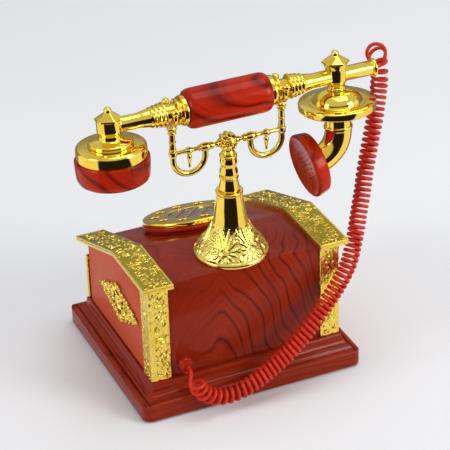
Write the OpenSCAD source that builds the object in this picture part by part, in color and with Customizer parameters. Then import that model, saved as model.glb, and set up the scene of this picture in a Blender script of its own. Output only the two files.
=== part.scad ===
// A desk telephone in an old style: a box on a moulded plinth with a sloping dial face, a turned
// column that carries a sprung cradle, a handset lying across it, and a curly cord.
// X runs along the handset, the dial slope faces +Y, the cord leaves at the back, -Y, and Z is up.
// The origin is on the table, below the middle of the plinth.

/* [Plinth] */
// Length of the plinth, left to right
plinth_l = 170; // [164:1:190]
// Width of the plinth, back to front
plinth_w = 153; // [149:1:170]
// Height of the plinth's top above the table
plinth_top = 24; // [22:0.5:30]
// Height of the rubber feet
foot_h = 1.5; // [1:0.1:3]
// Radius of a rubber foot
foot_r = 6; // [4:0.5:7]
// Height of the plain lower tier's top above the table
tier_top = 14; // [12:0.5:16]
// Radius of the plinth's four upright corners
plinth_corner_r = 6.5; // [3:0.5:10]
// How far the plinth's rim reaches in past the body's inner walls
rim_in = 8; // [7.5:0.1:10]
// Thickness of the steel plate under the plinth
base_plate_t = 2; // [1.5:0.1:3]

/* [Body] */
// Half the length of the body's core, between the end panels
core_x = 70; // [66:0.5:72]
// Distance from the middle to the back board's face
back_y = 62.2; // [60:0.1:64]
// Distance from the middle to the front board's face
front_y = 62.2; // [60:0.1:64]
// Thickness of the body's walls
wall = 4; // [3:0.5:6]
// Thickness of the roof
roof_t = 3; // [2:0.5:5]
// Height of the flat part of the roof
roof_z = 101; // [92:1:115]
// Place of the ridge where the roof begins to slope
ridge_y = -10; // [-14:1:-6]
// Slope of the dial face
slope = 20.2; // [16:0.1:24]
// Thickness of an end panel
panel_t = 2; // [1.5:0.1:3]

/* [Gilt trim] */
// Width of a back corner pillar on the long face
pillar_x = 15; // [10:0.5:20]
// Width of a back corner pillar on the end face
pillar_y = 15.4; // [10:0.5:20]
// Thickness of the corner pillars
pillar_t = 3.2; // [2:0.1:4]
// Height of the front corner strips above the table
strip_top = 61; // [50:1:70]
// Thickness of the front corner strips
strip_t = 2; // [1.5:0.1:3]
// Width of a roof cap
cap_w = 22; // [18:0.5:26]
// Thickness of a roof cap
cap_t = 4; // [3:0.1:5]
// How far the caps reach past the pillars at the ends
cap_over_x = 4.8; // [2:0.1:8]
// How far the caps reach past the back board
cap_over_y = 6.8; // [3:0.1:9]
// Length of the scroll ornament on each end
ornament_l = 75; // [50:1:84]
// Height of the scroll ornament
ornament_h = 32; // [20:1:40]
// Thickness of the scroll ornament
ornament_t = 2.4; // [1.5:0.1:4]

/* [Column] */
// Distance from the back board's face in to the column's middle
column_in = 22.2; // [20:0.1:26]
// Radius of the column's foot on the roof
foot_bell_r = 26.8; // [20:0.1:27]
// Height of the column's foot above the roof
foot_bell_h = 25.6; // [20:0.1:34]
// Height of the fixed sleeve above the foot
sleeve_h = 23.9; // [18:0.1:30]
// Radius of the fixed sleeve at its top
sleeve_top_r = 9.2; // [8.8:0.1:11]
// Radius of the plunger that slides in the sleeve
plunger_r = 7; // [6:0.1:7.6]
// Radial clearance of sliding and turning pieces in their bores
run_gap = 0.05; // [0.02:0.01:0.1]
// How far the cradle rises when the handset is lifted
hook_travel = 4; // [3:0.1:5]

/* [Cradle] */
// Height of the rosette and the crossbar above the roof
bar_rise = 87; // [80:0.5:100]
// Radius of the crossbar's thin rod
bar_r = 1.4; // [1:0.1:2]
// Radius of the round wire of the two hooks
hook_wire_r = 2.1; // [1.5:0.1:2.6]
// Radius of the hooks' bend, at the middle of the wire
hook_bend_r = 11.9; // [9:0.1:14]
// Distance from the column to a hook's middle
hook_x = 28.8; // [26:0.1:32]
// Gap between a fork and the handset's neck
fork_gap = 0.3; // [0.2:0.05:0.6]
// Radius of the wire of a fork
fork_wire_r = 1.9; // [1.4:0.1:2.2]

/* [Handset] */
// Height of the handset's axis above the crossbar
handset_rise = 31.4; // [30:0.1:36]
// Lean of the hanging handset about its own axis, cups towards the back
handset_lean = 5; // [0:0.5:8]
// Half the length of the grip
grip_half = 30.5; // [28:0.5:33]
// Radius of the grip
grip_r = 14; // [11:0.5:15]
// Outer radius of the handset's tube
tube_r = 5.2; // [4.6:0.1:5.8]
// Wall of the handset's tube
tube_wall = 1.4; // [0.8:0.1:2]
// Radius of the neck that lies in a fork
neck_r = 6.2; // [5.8:0.1:6.6]
// Distance from the middle to the earpiece post
ear_x = 85.1; // [80:0.1:92]
// Distance from the middle to the mouthpiece post
mouth_x = 82.6; // [80:0.1:92]
// Distance from the middle to the tube's end, where the cord enters
tube_end_x = 112.4; // [104:0.1:116]
// Radius of the earpiece's gilt drum
ear_drum_r = 24.2; // [18:0.1:27]
// Radius of the earpiece's coloured cap
ear_cap_r = 25.7; // [20:0.1:28]
// Radius of the disc above the mouthpiece horn
mouth_disc_r = 27.3; // [20:0.1:28]
// Radius of the horn's tube
horn_r = 9.5; // [7:0.1:11]
// Radius of the horn's bend
horn_bend_r = 21.5; // [18:0.5:24]
// Angle that the horn turns through
horn_turn = 80; // [70:1:88]
// Radius of the mouthpiece's face
mouth_r = 23.3; // [18:0.1:26]
// Thickness of the mouthpiece
mouth_t = 10.3; // [8:0.1:14]
// How far the handset lifts straight off
lift_travel = 120; // [100:1:160]

/* [Dial] */
// Distance from the ridge to the dial's centre, down the slope
dial_down = 43.5; // [40:0.5:46]
// Radius of the finger wheel
wheel_r = 36; // [33:0.5:38]
// Radius of a finger hole
finger_r = 4.2; // [3:0.1:5]
// Radius of the circle of finger holes
finger_circle_r = 26.5; // [24:0.5:29]
// Number of finger holes
finger_holes = 10; // [10:1:10]
// Turn of the wheel from rest to its stop
dial_turn = 324; // [300:1:330]

/* [Cord] */
// Diameter of the cord's wire
wire_d = 2.6; // [2:0.1:2.8]
// Radius of the curls, at the middle of the wire
curl_r = 5.1; // [4:0.1:5.5]
// Radius of the first, wider curls above the tube's end
top_curl_r = 6.4; // [5:0.1:6.8]
// Place of the cord's bush on the back board, left of the middle
bush_x = -48.5; // [-52:0.5:-44]
// Height of the cord's bush above the table
bush_z = 34.2; // [32:0.1:40]

/* [Hidden] */
$fn = 64;

GILT = "gold";
RED = "firebrick";
DARK = "maroon";
STEEL = "silver";
eps = 0.01;

// ---- plinth ----
plinth_x = plinth_l / 2;
plinth_y = plinth_w / 2;
tier_round = 3;
quirk_in = 4.9;
quirk_d = 1.3;
arris_in = 6.3;
arris_up = 1.5;
cove_in = 10.7;
cove_z = plinth_top - 2.2;
lip_in = 11.6;
plate_z0 = foot_h + 0.2;
plate_z1 = plate_z0 + base_plate_t;
plate_gap = 0.5;
plate_edge_x = 8;
plate_edge_y = 9.2;
foot_in_x = 8;
foot_in_y = 8.5;
screw_r = 1.8;
screw_head_r = 4;
screw_head_h = 1.2;
screw_in_shell = 14;

// ---- body ----
body_z0 = plinth_top;
boss = 9;
inner_x = core_x - wall;
inner_back = back_y - pillar_t - wall + 0.8;
inner_front = front_y - wall;
boss_x = inner_x - boss / 2;
boss_y = min(inner_back, inner_front) - boss / 2;
plate_x = boss_x + plate_edge_x;
plate_y = boss_y + plate_edge_y;
hollow_x = inner_x - rim_in;
hollow_y = inner_back - rim_in;
panel_x = core_x + panel_t;
pillar_out_x = core_x + pillar_t;
pillar_out_y = back_y + 0.8;
board_x = pillar_out_x - pillar_x;
core_back = pillar_out_y - pillar_t;
strip_gap = 2;
cap_x1 = pillar_out_x + cap_over_x;
cap_x0 = cap_x1 - cap_w;
cap_y = back_y + cap_over_y;
far = 200;
ornament_y = -3.1;
ornament_z = 57.6;
ornament_tilt = -4.6;

function roof_at(y) = y <= ridge_y ? roof_z : roof_z - (y - ridge_y) * tan(slope);

// ---- column and cradle ----
column_y = column_in - back_y;
foot_top = roof_z + foot_bell_h;
sleeve_top = foot_top + sleeve_h;
neck_stub_r = 8.5;
sleeve_floor = roof_z + 5;
sleeve_stub_z = roof_z - roof_t - 6;
rod_r = 3.5;
nut_t = 5;
plunger_z0 = sleeve_floor + 18;
clip_t = 1;
clip_gap = 0.3;
clip_z1 = sleeve_stub_z - hook_travel - clip_gap;
bar_z = roof_z + bar_rise;
stem_top = bar_z - 8.6;
post_x = hook_x + hook_bend_r;
band_r = 2.8;
barrel_r = 3;
bend_z = bar_z - 5.6;
handset_z = bar_z + handset_rise;
fork_mid_r = neck_r + fork_gap + fork_wire_r;
fork_low = handset_z - fork_mid_r - fork_wire_r;
fork_ball_r = fork_wire_r + 0.7;
rosette_half = 5.4;
petals = 8;

// ---- circuit board and hook switch ----
board_z = 28;
board_t = 1.6;
pcb_l = 64;
pcb_w = 36;
pcb_y = column_y - 15;
stand_r = 2.5;
stand_x = pcb_l / 2 - 6;
stand_in = 11;
stand_apart = 20;
switch_h = 10.4;
rod_z0 = board_z + board_t + switch_h + 0.3;

// ---- dial ----
dial_y = ridge_y + dial_down * cos(slope);
dial_z = roof_z - dial_down * sin(slope);
ring_neck = 2.5;
ring_top = 5.2;
skirt_r = 26;
skirt_in = 25;
skirt_z = -4.5;
number_t = 0.8;
web_z = ring_top + number_t + 0.4;
wheel_top = 9;
badge_r = 19;
badge_z = web_z + 0.8;
gear_teeth = 60;
pinion_teeth = 12;
gear_module = 0.5;
gear_z = -10;
gear_t = 2;
gear_r = gear_teeth * gear_module / 2;
pinion_r = pinion_teeth * gear_module / 2;
governor_r = gear_r + pinion_r;
governor_at = 90;
shaft_r = 3;
axle_r = 1.5;
rear_plate_z = -18.5;
plate_t = 1.5;
stop_at = 2;

// ---- ringer ----
gong_r = 20;
gong_x = 24.5;
gong_y = 10;
gong_z = 40;
gong_h = 12;
gong_t = 1.5;
coil_x = 10;
coil_r = 7;
coil_top = 24;
arm_x = coil_x + 4;
pivot_z = 27.5;
pivot_r = 1.5;
clapper_z = 43;
clapper_r = 2.8;

// ---- line jack ----
jack_w = 13;
jack_h = 8.2;
jack_depth = 15;
jack_inset = 3.2;
jack_hole_w = 10;
jack_hole_h = 6.6;

// ---- handset, heights before its lean ----
axis = [0, column_y, handset_z];
ear_drum_z1 = handset_z - 12.5;
ear_drum_z0 = handset_z - 21.5;
ear_cap_z0 = handset_z - 38.6;
ear_post_r = 8.6;
ear_post_top = handset_z + 5.4;
finial_turn = 37;
mouth_post_r = 7.4;
mouth_post_top = handset_z + 9.8;
mouth_disc_z0 = handset_z - 23.8;
mouth_disc_z1 = handset_z - 18.3;
dome_r = 17;
dome_top = handset_z - 9.6;
horn_z = handset_z - 39.4;
horn_wall = 2;
horn_end_x = mouth_x - horn_bend_r * (1 - cos(horn_turn));
horn_end_z = horn_z - horn_bend_r * sin(horn_turn);
face_tilt = 90 - horn_turn;
ferrule_x = grip_half + 15;
ferrule_flange = 4.2;
neck_x0 = grip_half + 8.2;
fork_x = neck_x0 + fork_wire_r + 0.1;

// ================= plinth and underside =================

// Right half of the plinth's moulding, from its outer edge at h inwards
function moulding(h) = concat(
    [[h, foot_h], [h, tier_top - tier_round]],
    [for (a = [15 : 15 : 90])
        [h - tier_round * (1 - cos(a)), tier_top - tier_round * (1 - sin(a))]],
    [[h - quirk_in + 0.7, tier_top], [h - quirk_in, tier_top - quirk_d],
     [h - quirk_in - 0.5, tier_top], [h - arris_in, tier_top + arris_up]],
    [for (a = [10 : 20 : 90])
        [h - arris_in - (cove_in - arris_in) * sin(a),
         cove_z - (cove_z - tier_top - arris_up) * cos(a)]],
    [[h - cove_in - 0.2, cove_z + 1.3], [h - lip_in, plinth_top]]);

module moulding_prism(h, length) {
    p = moulding(h);
    q = [for (i = [len(p) - 1 : -1 : 0]) [-p[i].x, p[i].y]];
    rotate([90, 0, 0]) translate([0, 0, -length / 2]) linear_extrude(length)
        polygon(concat(p, q));
}

module rounded_plan(x, y, r) {
    square([2 * x - 2 * r, 2 * y], center = true);
    square([2 * x, 2 * y - 2 * r], center = true);
    for (sx = [-1, 1], sy = [-1, 1]) translate([sx * (x - r), sy * (y - r)]) circle(r);
}

module at_screws() {
    for (sx = [-1, 1], sy = [-1, 1]) translate([sx * boss_x, sy * boss_y, 0]) children();
}

module jack_place() {
    translate([plinth_x - jack_inset - jack_depth, -jack_w / 2, plate_z1]) children();
}

module plinth() {
    color(DARK) difference() {
        intersection() {
            moulding_prism(plinth_x, plinth_w + 20);
            rotate([0, 0, 90]) moulding_prism(plinth_y, plinth_l + 20);
            linear_extrude(plinth_top + 1) rounded_plan(plinth_x, plinth_y, plinth_corner_r);
        }
        translate([0, 0, -eps]) linear_extrude(plinth_top + 1)
            square([2 * hollow_x, 2 * hollow_y], center = true);
        translate([0, 0, -eps]) linear_extrude(plate_z1 + eps)
            square([2 * (plate_x + plate_gap), 2 * (plate_y + plate_gap)], center = true);
        translate([hollow_x - 1, -jack_w / 2, plate_z1])
            cube([plinth_x - hollow_x + 2, jack_w, jack_h]);
        at_screws() cylinder(r = screw_r, h = plinth_top + 1);
    }
}

module base_plate() {
    color(STEEL) {
        difference() {
            translate([0, 0, plate_z0]) linear_extrude(base_plate_t)
                square([2 * plate_x, 2 * plate_y], center = true);
            at_screws() cylinder(r = screw_r, h = plinth_top);
        }
        for (x = [-stand_x, stand_x], y = [stand_in, stand_in + stand_apart])
            translate([x, pcb_y + y, plate_z1 - eps])
                cylinder(r = stand_r, h = board_z - plate_z1 + eps);
    }
}

module feet() {
    color("black") for (sx = [-1, 1], sy = [-1, 1])
        translate([sx * (plinth_x - foot_in_x), sy * (plinth_y - foot_in_y), 0])
            cylinder(r = foot_r, h = foot_h);
}

module base_screws() {
    color(STEEL) at_screws() {
        translate([0, 0, plate_z0 - screw_head_h]) cylinder(r = screw_head_r, h = screw_head_h);
        translate([0, 0, plate_z0 - eps])
            cylinder(r = screw_r, h = body_z0 + screw_in_shell - plate_z0 + eps);
    }
}

module line_jack() {
    color("black") jack_place() difference() {
        cube([jack_depth, jack_w, jack_h]);
        translate([3, (jack_w - jack_hole_w) / 2, (jack_h - jack_hole_h) / 2])
            cube([jack_depth, jack_hole_w, jack_hole_h]);
    }
}

// ================= body =================

// The space below the roof, lowered by t square to its surface
module below_roof(t = 0, up = 0) {
    drop = t / cos(slope);
    rotate([90, 0, 90]) translate([0, 0, -far]) linear_extrude(2 * far)
        polygon([[-far, 0], [-far, roof_z - t + up], [ridge_y - t * tan(slope / 2), roof_z - t + up],
                 [far, roof_at(far) - drop + up], [far, 0]]);
}

module shell_plan() {
    translate([-board_x, -back_y]) square([2 * board_x, back_y + front_y]);
    translate([-core_x, -core_back]) square([2 * core_x, core_back + front_y]);
}

module body_shell() {
    color(DARK) difference() {
        intersection() {
            translate([0, 0, body_z0]) linear_extrude(far) shell_plan();
            below_roof();
        }
        difference() {
            intersection() {
                translate([-inner_x, -inner_back, body_z0 - 1])
                    cube([2 * inner_x, inner_back + inner_front, far]);
                below_roof(roof_t);
            }
            at_screws() translate([-boss / 2 - eps, -boss / 2 - eps, 0])
                cube([boss + 2 * eps, boss + 2 * eps, body_z0 + screw_in_shell + 6]);
        }
        at_screws() cylinder(r = screw_r, h = body_z0 + screw_in_shell);
        translate([0, column_y, roof_z - roof_t - 1]) cylinder(r = neck_stub_r, h = roof_t + 2);
        at_dial() translate([0, 0, -roof_t - 2]) cylinder(r = skirt_r, h = roof_t + 3);
        translate([bush_x, 0, bush_z]) rotate([90, 0, 0]) cylinder(r = bush_neck_r, h = far);
    }
}

module end_panels() {
    color("brown") intersection() {
        for (s = [-1, 1]) translate([s > 0 ? core_x : -panel_x, -pillar_out_y + pillar_y, body_z0])
            cube([panel_t, pillar_out_y - pillar_y + front_y - strip_gap, far]);
        below_roof();
    }
}

module back_pillars() {
    color(GILT) intersection() {
        for (s = [-1, 1]) scale_x(s) translate([0, 0, body_z0]) {
            translate([board_x, -pillar_out_y, 0]) cube([pillar_x, pillar_t, far]);
            translate([core_x, -pillar_out_y, 0]) cube([pillar_t, pillar_y, far]);
        }
        below_roof();
    }
}

// The same piece on the right, s = 1, or mirrored to the left, s = -1
module scale_x(s) {
    if (s > 0) children();
    else mirror([1, 0, 0]) children();
}

module front_strips() {
    color(GILT) for (s = [-1, 1]) scale_x(s)
        translate([board_x, front_y, body_z0]) cube([pillar_x, strip_t, strip_top - body_z0]);
}

module roof_cap(s) {
    rim = 1.6;
    sink = 0.5;
    color(GILT) scale_x(s) difference() {
        intersection() {
            translate([cap_x0, -cap_y, 0]) cube([cap_w, 2 * cap_y, far]);
            below_roof(0, cap_t);
        }
        translate([cap_x0 - 1, 0, 0]) intersection() {
            translate([0, -cap_y - 1, 0]) cube([cap_w + 2, 2 * cap_y + 2, far]);
            below_roof();
        }
        difference() {
            translate([cap_x0 + rim, -cap_y + rim, 0])
                cube([cap_w - 2 * rim, 2 * (cap_y - rim), far]);
            below_roof(0, cap_t - sink);
        }
    }
}

module roof_cap_left() { roof_cap(-1); }

module roof_cap_right() { roof_cap(1); }

// Openwork scrolls along the end face: rings that shrink from a boss in the middle towards two
// leaf tips, each placed and sized by shares of half the length and half the height
module ornament_outline() {
    half = ornament_l / 2;
    up = ornament_h / 2;
    both = [-1, 1];
    rings = concat(
        [for (t = both) [0, t * 0.64 * up, 0.36 * up]],
        [for (m = both, t = both) [m * 0.24 * half, t * 0.42 * up, 0.34 * up]],
        [for (m = both, t = both) [m * 0.47 * half, t * 0.22 * up, 0.34 * up]],
        [for (m = both) [m * 0.7 * half, 0, 0.3 * up]]);
    difference() {
        union() {
            circle(0.42 * up);
            for (q = rings) translate([q[0], q[1]]) circle(q[2]);
            polygon([[-half, 0], [-0.72 * half, -0.22 * up], [0, -0.14 * up],
                     [0.72 * half, -0.22 * up], [half, 0], [0.72 * half, 0.22 * up],
                     [0, 0.14 * up], [-0.72 * half, 0.22 * up]]);
        }
        for (q = rings) translate([q[0], q[1]]) circle(0.42 * q[2]);
    }
}

module end_ornament(s) {
    color(GILT) scale_x(s) translate([panel_x, ornament_y, ornament_z])
        rotate([90, 0, 90]) linear_extrude(ornament_t) rotate(ornament_tilt) ornament_outline();
}

module end_ornament_left() { end_ornament(-1); }

module end_ornament_right() { end_ornament(1); }

bush_r = 4.7;
bush_neck_r = 3.2;
bush_out = 8.8;
bush_face = back_y + bush_out;

module cord_bush() {
    color(RED) translate([bush_x, -inner_back, bush_z]) rotate([90, 0, 0])
        rotate_extrude() polygon([[0, -2], [bush_r, -2], [bush_r, 0], [bush_neck_r, 0],
            [bush_neck_r, back_y - inner_back], [bush_r + 0.5, back_y - inner_back],
            [bush_r + 0.5, back_y - inner_back + 4], [bush_r, back_y - inner_back + 4.6],
            [bush_r, bush_face - inner_back], [0, bush_face - inner_back]]);
}

// ================= column =================

module at_column() { translate([0, column_y, 0]) children(); }

module column_foot() {
    h = foot_bell_h;
    r = foot_bell_r;
    color(GILT) at_column() translate([0, 0, roof_z]) rotate_extrude() polygon([
        [neck_stub_r, h], [neck_stub_r, 0], [r - 0.4, 0],
        [r, 0.8], [r, 2], [r - 0.5, 3], [r - 2, 4.2], [r - 3.2, 6], [r - 5, 8.4], [r - 7.4, 11.4],
        [r - 9.6, 14.4], [r - 11.4, 17.4], [r - 12.8, 20.4], [r - 13.8, 23], [r - 14.4, h]]);
}

module column_sleeve() {
    bore = plunger_r + run_gap;
    guide = rod_r + run_gap;
    color(GILT) at_column() rotate_extrude() polygon([
        [guide, sleeve_stub_z], [neck_stub_r, sleeve_stub_z], [neck_stub_r, foot_top],
        [foot_bell_r - 14.4, foot_top], [foot_bell_r - 14.9, foot_top + 0.8],
        [sleeve_top_r, sleeve_top - 2.2], [sleeve_top_r + 0.5, sleeve_top - 1.7],
        [sleeve_top_r + 0.5, sleeve_top - 0.4], [sleeve_top_r + 0.1, sleeve_top],
        [bore, sleeve_top], [bore, sleeve_floor], [guide, sleeve_floor]]);
}

module column_nut() {
    color(STEEL) at_column() translate([0, 0, roof_z - roof_t - nut_t]) difference() {
        cylinder(r = 12.5, h = nut_t, $fn = 6);
        translate([0, 0, -1]) cylinder(r = neck_stub_r, h = nut_t + 2);
    }
}

module hook_spring() {
    color(STEEL) at_column() translate([0, 0, sleeve_floor]) difference() {
        cylinder(r = plunger_r - 1, h = plunger_z0 - sleeve_floor);
        translate([0, 0, -1]) cylinder(r = rod_r + 0.5, h = plunger_z0 - sleeve_floor + 2);
    }
}

// ================= cradle =================

module cradle_stem() {
    z = sleeve_top;
    color(GILT) at_column() rotate_extrude() polygon([
        [0, rod_z0], [rod_r, rod_z0], [rod_r, plunger_z0], [plunger_r, plunger_z0],
        [plunger_r, z + 0.5], [plunger_r + 0.5, z + 0.8], [plunger_r + 0.4, z + 3], [6.2, z + 9.6],
        [6.9, z + 10], [6.9, z + 10.9], [6.1, z + 11.4],
        [6.5, z + 13.5], [6.4, z + 15.2], [5.7, z + 17.4], [5.6, z + 19], [6.1, z + 21.4],
        [6, z + 23.4], [5.3, z + 25.6], [6.3, z + 26.2], [6.3, z + 27.4], [5.2, z + 28],
        [5.2, stem_top], [0, stem_top]]);
}

module stem_clip() {
    color(STEEL) at_column() translate([0, 0, clip_z1 - clip_t]) difference() {
        cylinder(r = 6, h = clip_t);
        translate([0, 0, -1]) cylinder(r = rod_r, h = clip_t + 2);
    }
}

module along_y(half) { rotate([90, 0, 0]) translate([0, 0, -half]) children(); }

module rosette_outline() {
    circle(4.7);
    for (k = [0 : petals - 1]) rotate(360 / petals * k) translate([4.6, 0]) circle(1.9);
}

module cradle_rosette() {
    color(GILT) at_column() difference() {
        union() {
            translate([0, 0, stem_top]) cylinder(r1 = 4.4, r2 = 3.4, h = 2);
            translate([0, 0, stem_top + 2 - eps]) cylinder(r = 3.4, h = bar_z - stem_top - 3);
            translate([0, 0, bar_z]) {
                along_y(rosette_half) linear_extrude(2 * rosette_half) rosette_outline();
                along_y(rosette_half + 1.2) cylinder(r = 3.2, h = 2 * rosette_half + 2.4);
                rotate([0, 90, 0]) translate([0, 0, -bar_root]) cylinder(r = 2.4, h = 2 * bar_root);
            }
        }
        for (s = [-1, 1]) translate([0, s * (rosette_half + 1.2), bar_z]) along_y(2)
            cylinder(r = 1.3, h = 4);
    }
}

bar_root = 7.4;

// One turned arm, from the rosette to the hook's outer post
module turned_arm() {
    r = bar_r;
    rotate([0, 90, 0]) rotate_extrude() polygon([
        [0, bar_root], [2, bar_root], [2.2, bar_root + 0.8], [r, bar_root + 1.8], [r, 11],
        [2.3, 11.2], [2.3, 12], [1.8, 12.2], [2.6, 12.5], [2.6, 13.2], [2, 13.5],
        [barrel_r, 15], [barrel_r, 18.8], [2, 20.2], [1.7, 20.4], [2.2, 20.8], [2.2, 21.6],
        [r, 22], [r, 26.6], [2, 27.2], [2.4, 28.2], [2.4, 30], [2, 31], [r, 31.6],
        [r, post_x], [0, post_x]]);
}

module cradle_crossbar() {
    color(GILT) at_column() for (s = [-1, 1]) scale_x(s) difference() {
        translate([0, 0, bar_z]) turned_arm();
        translate([post_x, 0, bar_z - 10]) cylinder(r = band_r, h = 20);
        pendant_hole();
    }
}

module pendant_hole() {
    translate([hook_x, 0, bar_z - 4]) cylinder(r = 0.9, h = 4);
}

module cradle_hooks() {
    inner = hook_x - hook_bend_r;
    color(GILT) at_column() for (s = [-1, 1]) scale_x(s) {
        translate([hook_x, 0, bend_z]) rotate([90, 0, 0]) rotate([0, 0, 180])
            rotate_extrude(angle = 180) translate([hook_bend_r, 0]) circle(hook_wire_r);
        difference() {
            translate([inner, 0, bend_z]) cylinder(r = hook_wire_r, h = bar_z - bend_z);
            translate([inner - 5, 0, bar_z]) rotate([0, 90, 0]) cylinder(r = barrel_r, h = 10);
        }
        translate([post_x, 0, bend_z]) cylinder(r = hook_wire_r, h = fork_base_z - bend_z);
        translate([post_x, 0, bar_z - 2]) cylinder(r = band_r, h = 4);
        translate([post_x, 0, bar_z + 3]) cylinder(r = 2.5, h = 0.9);
    }
}

module cradle_pendants() {
    color(GILT) at_column() for (s = [-1, 1]) scale_x(s)
        translate([hook_x, 0, bar_z]) rotate_extrude() polygon([
            [0, -13.2], [0.6, -13], [1, -12.2], [0.7, -11.4], [1.5, -6.4], [1.9, -4.4],
            [1.2, -3.6], [0.9, -3], [0.9, 0], [0, 0]]);
}

fork_base_z = fork_low - 5.6;

module cradle_forks() {
    color(GILT) at_column() for (s = [-1, 1]) scale_x(s) {
        translate([fork_x, 0, handset_z]) rotate([90, 0, 90]) rotate([0, 0, 180])
            rotate_extrude(angle = 180) translate([fork_mid_r, 0]) circle(fork_wire_r);
        for (m = [-1, 1]) translate([fork_x, m * fork_mid_r, handset_z]) {
            cylinder(r = fork_wire_r, h = 3);
            translate([0, m * (fork_ball_r - fork_wire_r), 4.4]) sphere(fork_ball_r);
        }
        translate([fork_x, 0, fork_low + 1]) mirror([0, 0, 1])
            cylinder(r1 = 1.8, r2 = 2.6, h = 2.4);
        translate([0.5 * (fork_x + post_x), 0, fork_low - 2]) sphere(3.2);
        translate([post_x, 0, fork_base_z]) cylinder(r = 2.8, h = 2);
        translate([post_x, 0, fork_base_z + 1]) cylinder(r = 2.2, h = 3);
    }
}

// ================= dial =================

module at_dial() { translate([0, dial_y, dial_z]) rotate([-slope, 0, 0]) children(); }

module dial_ring() {
    color(DARK) at_dial() rotate_extrude() polygon([
        [skirt_in, skirt_z], [skirt_r, skirt_z], [skirt_r, 0], [33, 0], [33, ring_neck],
        [wheel_r + 0.3, ring_neck], [wheel_r + 0.7, ring_neck + 0.5],
        [wheel_r + 0.7, ring_top - 0.3], [wheel_r + 0.4, ring_top], [skirt_in, ring_top]]);
}

module number_plate() {
    color("ivory") at_dial() translate([0, 0, ring_top]) difference() {
        cylinder(r = wheel_r - 3, h = number_t);
        translate([0, 0, -1]) cylinder(r = 8, h = number_t + 2);
    }
}

module finger_stop() {
    reach = wheel_r + 3.2;
    color(GILT) at_dial() rotate([0, 0, stop_at]) {
        translate([wheel_r + 1, -1.5, 0]) cube([2.2, 3, wheel_top + 2]);
        translate([wheel_r - 10, -1.5, wheel_top + 0.8]) cube([reach - wheel_r + 10, 3, 1.2]);
    }
}

module dial_frame() {
    color(STEEL) at_dial() difference() {
        union() {
            translate([0, 0, skirt_z]) cylinder(r = skirt_in, h = plate_t);
            translate([0, 0, rear_plate_z]) cylinder(r = 22, h = plate_t);
            for (a = [30, 150, 270]) rotate([0, 0, a]) translate([19.5, 0, rear_plate_z])
                cylinder(r = 1.8, h = skirt_z - rear_plate_z + 1);
        }
        translate([0, 0, rear_plate_z - 1]) cylinder(r = shaft_r + run_gap, h = 30);
        rotate([0, 0, governor_at]) translate([governor_r, 0, rear_plate_z - 1])
            cylinder(r = axle_r + run_gap, h = 30);
    }
}

module return_spring_case() {
    color(STEEL) at_dial() translate([0, 0, rear_plate_z + plate_t]) difference() {
        cylinder(r = 9, h = 4);
        translate([0, 0, -1]) cylinder(r = shaft_r + 0.5, h = 6);
    }
}

module pulse_contacts() {
    color("sienna") at_dial() rotate([0, 0, 210]) translate([18.5, -3, skirt_z - 8])
        cube([5, 6, 8]);
}

module finger_wheel() {
    color(GILT) at_dial() difference() {
        rotate_extrude() polygon([
            [shaft_r, web_z], [wheel_r - 2, web_z], [wheel_r - 2, ring_top + 0.3],
            [wheel_r, ring_top + 0.3], [wheel_r, wheel_top - 0.6], [wheel_r - 0.6, wheel_top],
            [badge_r + 0.6, wheel_top], [badge_r, wheel_top - 0.6], [badge_r, badge_z],
            [shaft_r, badge_z]]);
        for (k = [0 : finger_holes - 1]) rotate([0, 0, 20 + 360 / finger_holes * k])
            translate([finger_circle_r, 0, 0]) cylinder(r = finger_r, h = wheel_top + 1);
    }
}

module dial_badge() {
    color("indigo") at_dial() translate([0, 0, badge_z]) cylinder(r = badge_r, h = 0.8);
}

module dial_grille() {
    color(GILT) at_dial() translate([0, 0, badge_z + 0.8]) linear_extrude(0.8) {
        difference() {
            circle(badge_r);
            circle(badge_r - 1.8);
        }
        intersection() {
            circle(badge_r - 1);
            for (k = [-1 : 1]) rotate([0, 0, 55]) translate([-badge_r, 9.5 * k - 1.2])
                square([2 * badge_r, 2.4]);
        }
    }
}

module dial_shaft() {
    color(STEEL) at_dial() {
        translate([0, 0, rear_plate_z - 1]) cylinder(r = shaft_r, h = badge_z - rear_plate_z + 1);
        translate([0, 0, ring_top + 0.2]) cylinder(r = 7, h = web_z - ring_top - 0.2);
    }
}

// A spur gear with straight-sided teeth that leave room for backlash
module spur(n, r, t) {
    tooth = 360 / n;
    linear_extrude(t) polygon([for (k = [0 : n - 1]) for (q = [[-0.24, -0.55], [-0.1, 0.35],
        [0.1, 0.35], [0.24, -0.55]])
        (r + q[1] * gear_module) * [cos((k + q[0]) * tooth), sin((k + q[0]) * tooth)]]);
}

module dial_gear() {
    color("goldenrod") at_dial() translate([0, 0, gear_z]) difference() {
        rotate([0, 0, governor_at]) spur(gear_teeth, gear_r, gear_t);
        translate([0, 0, -1]) cylinder(r = shaft_r, h = gear_t + 2);
    }
}

module governor_rotor() {
    color("goldenrod") at_dial() rotate([0, 0, governor_at]) translate([governor_r, 0, 0]) {
        translate([0, 0, gear_z]) rotate([0, 0, 180 / pinion_teeth + 180])
            spur(pinion_teeth, pinion_r, gear_t);
        translate([0, 0, rear_plate_z]) cylinder(r = axle_r, h = skirt_z + plate_t - rear_plate_z);
        translate([0, 0, gear_z - 4]) cylinder(r = 5.5, h = 2.6);
    }
}

// ================= ringer and electrics =================

module gongs() {
    color("darkgoldenrod") for (s = [-1, 1]) translate([s * gong_x, gong_y, gong_z])
        rotate_extrude() polygon([
            [2.5, gong_h], [2.5, gong_h - gong_t], [8, gong_h - gong_t], [15, 7.4],
            [gong_r - gong_t, 3.4], [gong_r - gong_t, 0], [gong_r, 0], [gong_r, 4], [16, 8.6],
            [8.6, gong_h]]);
}

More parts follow.
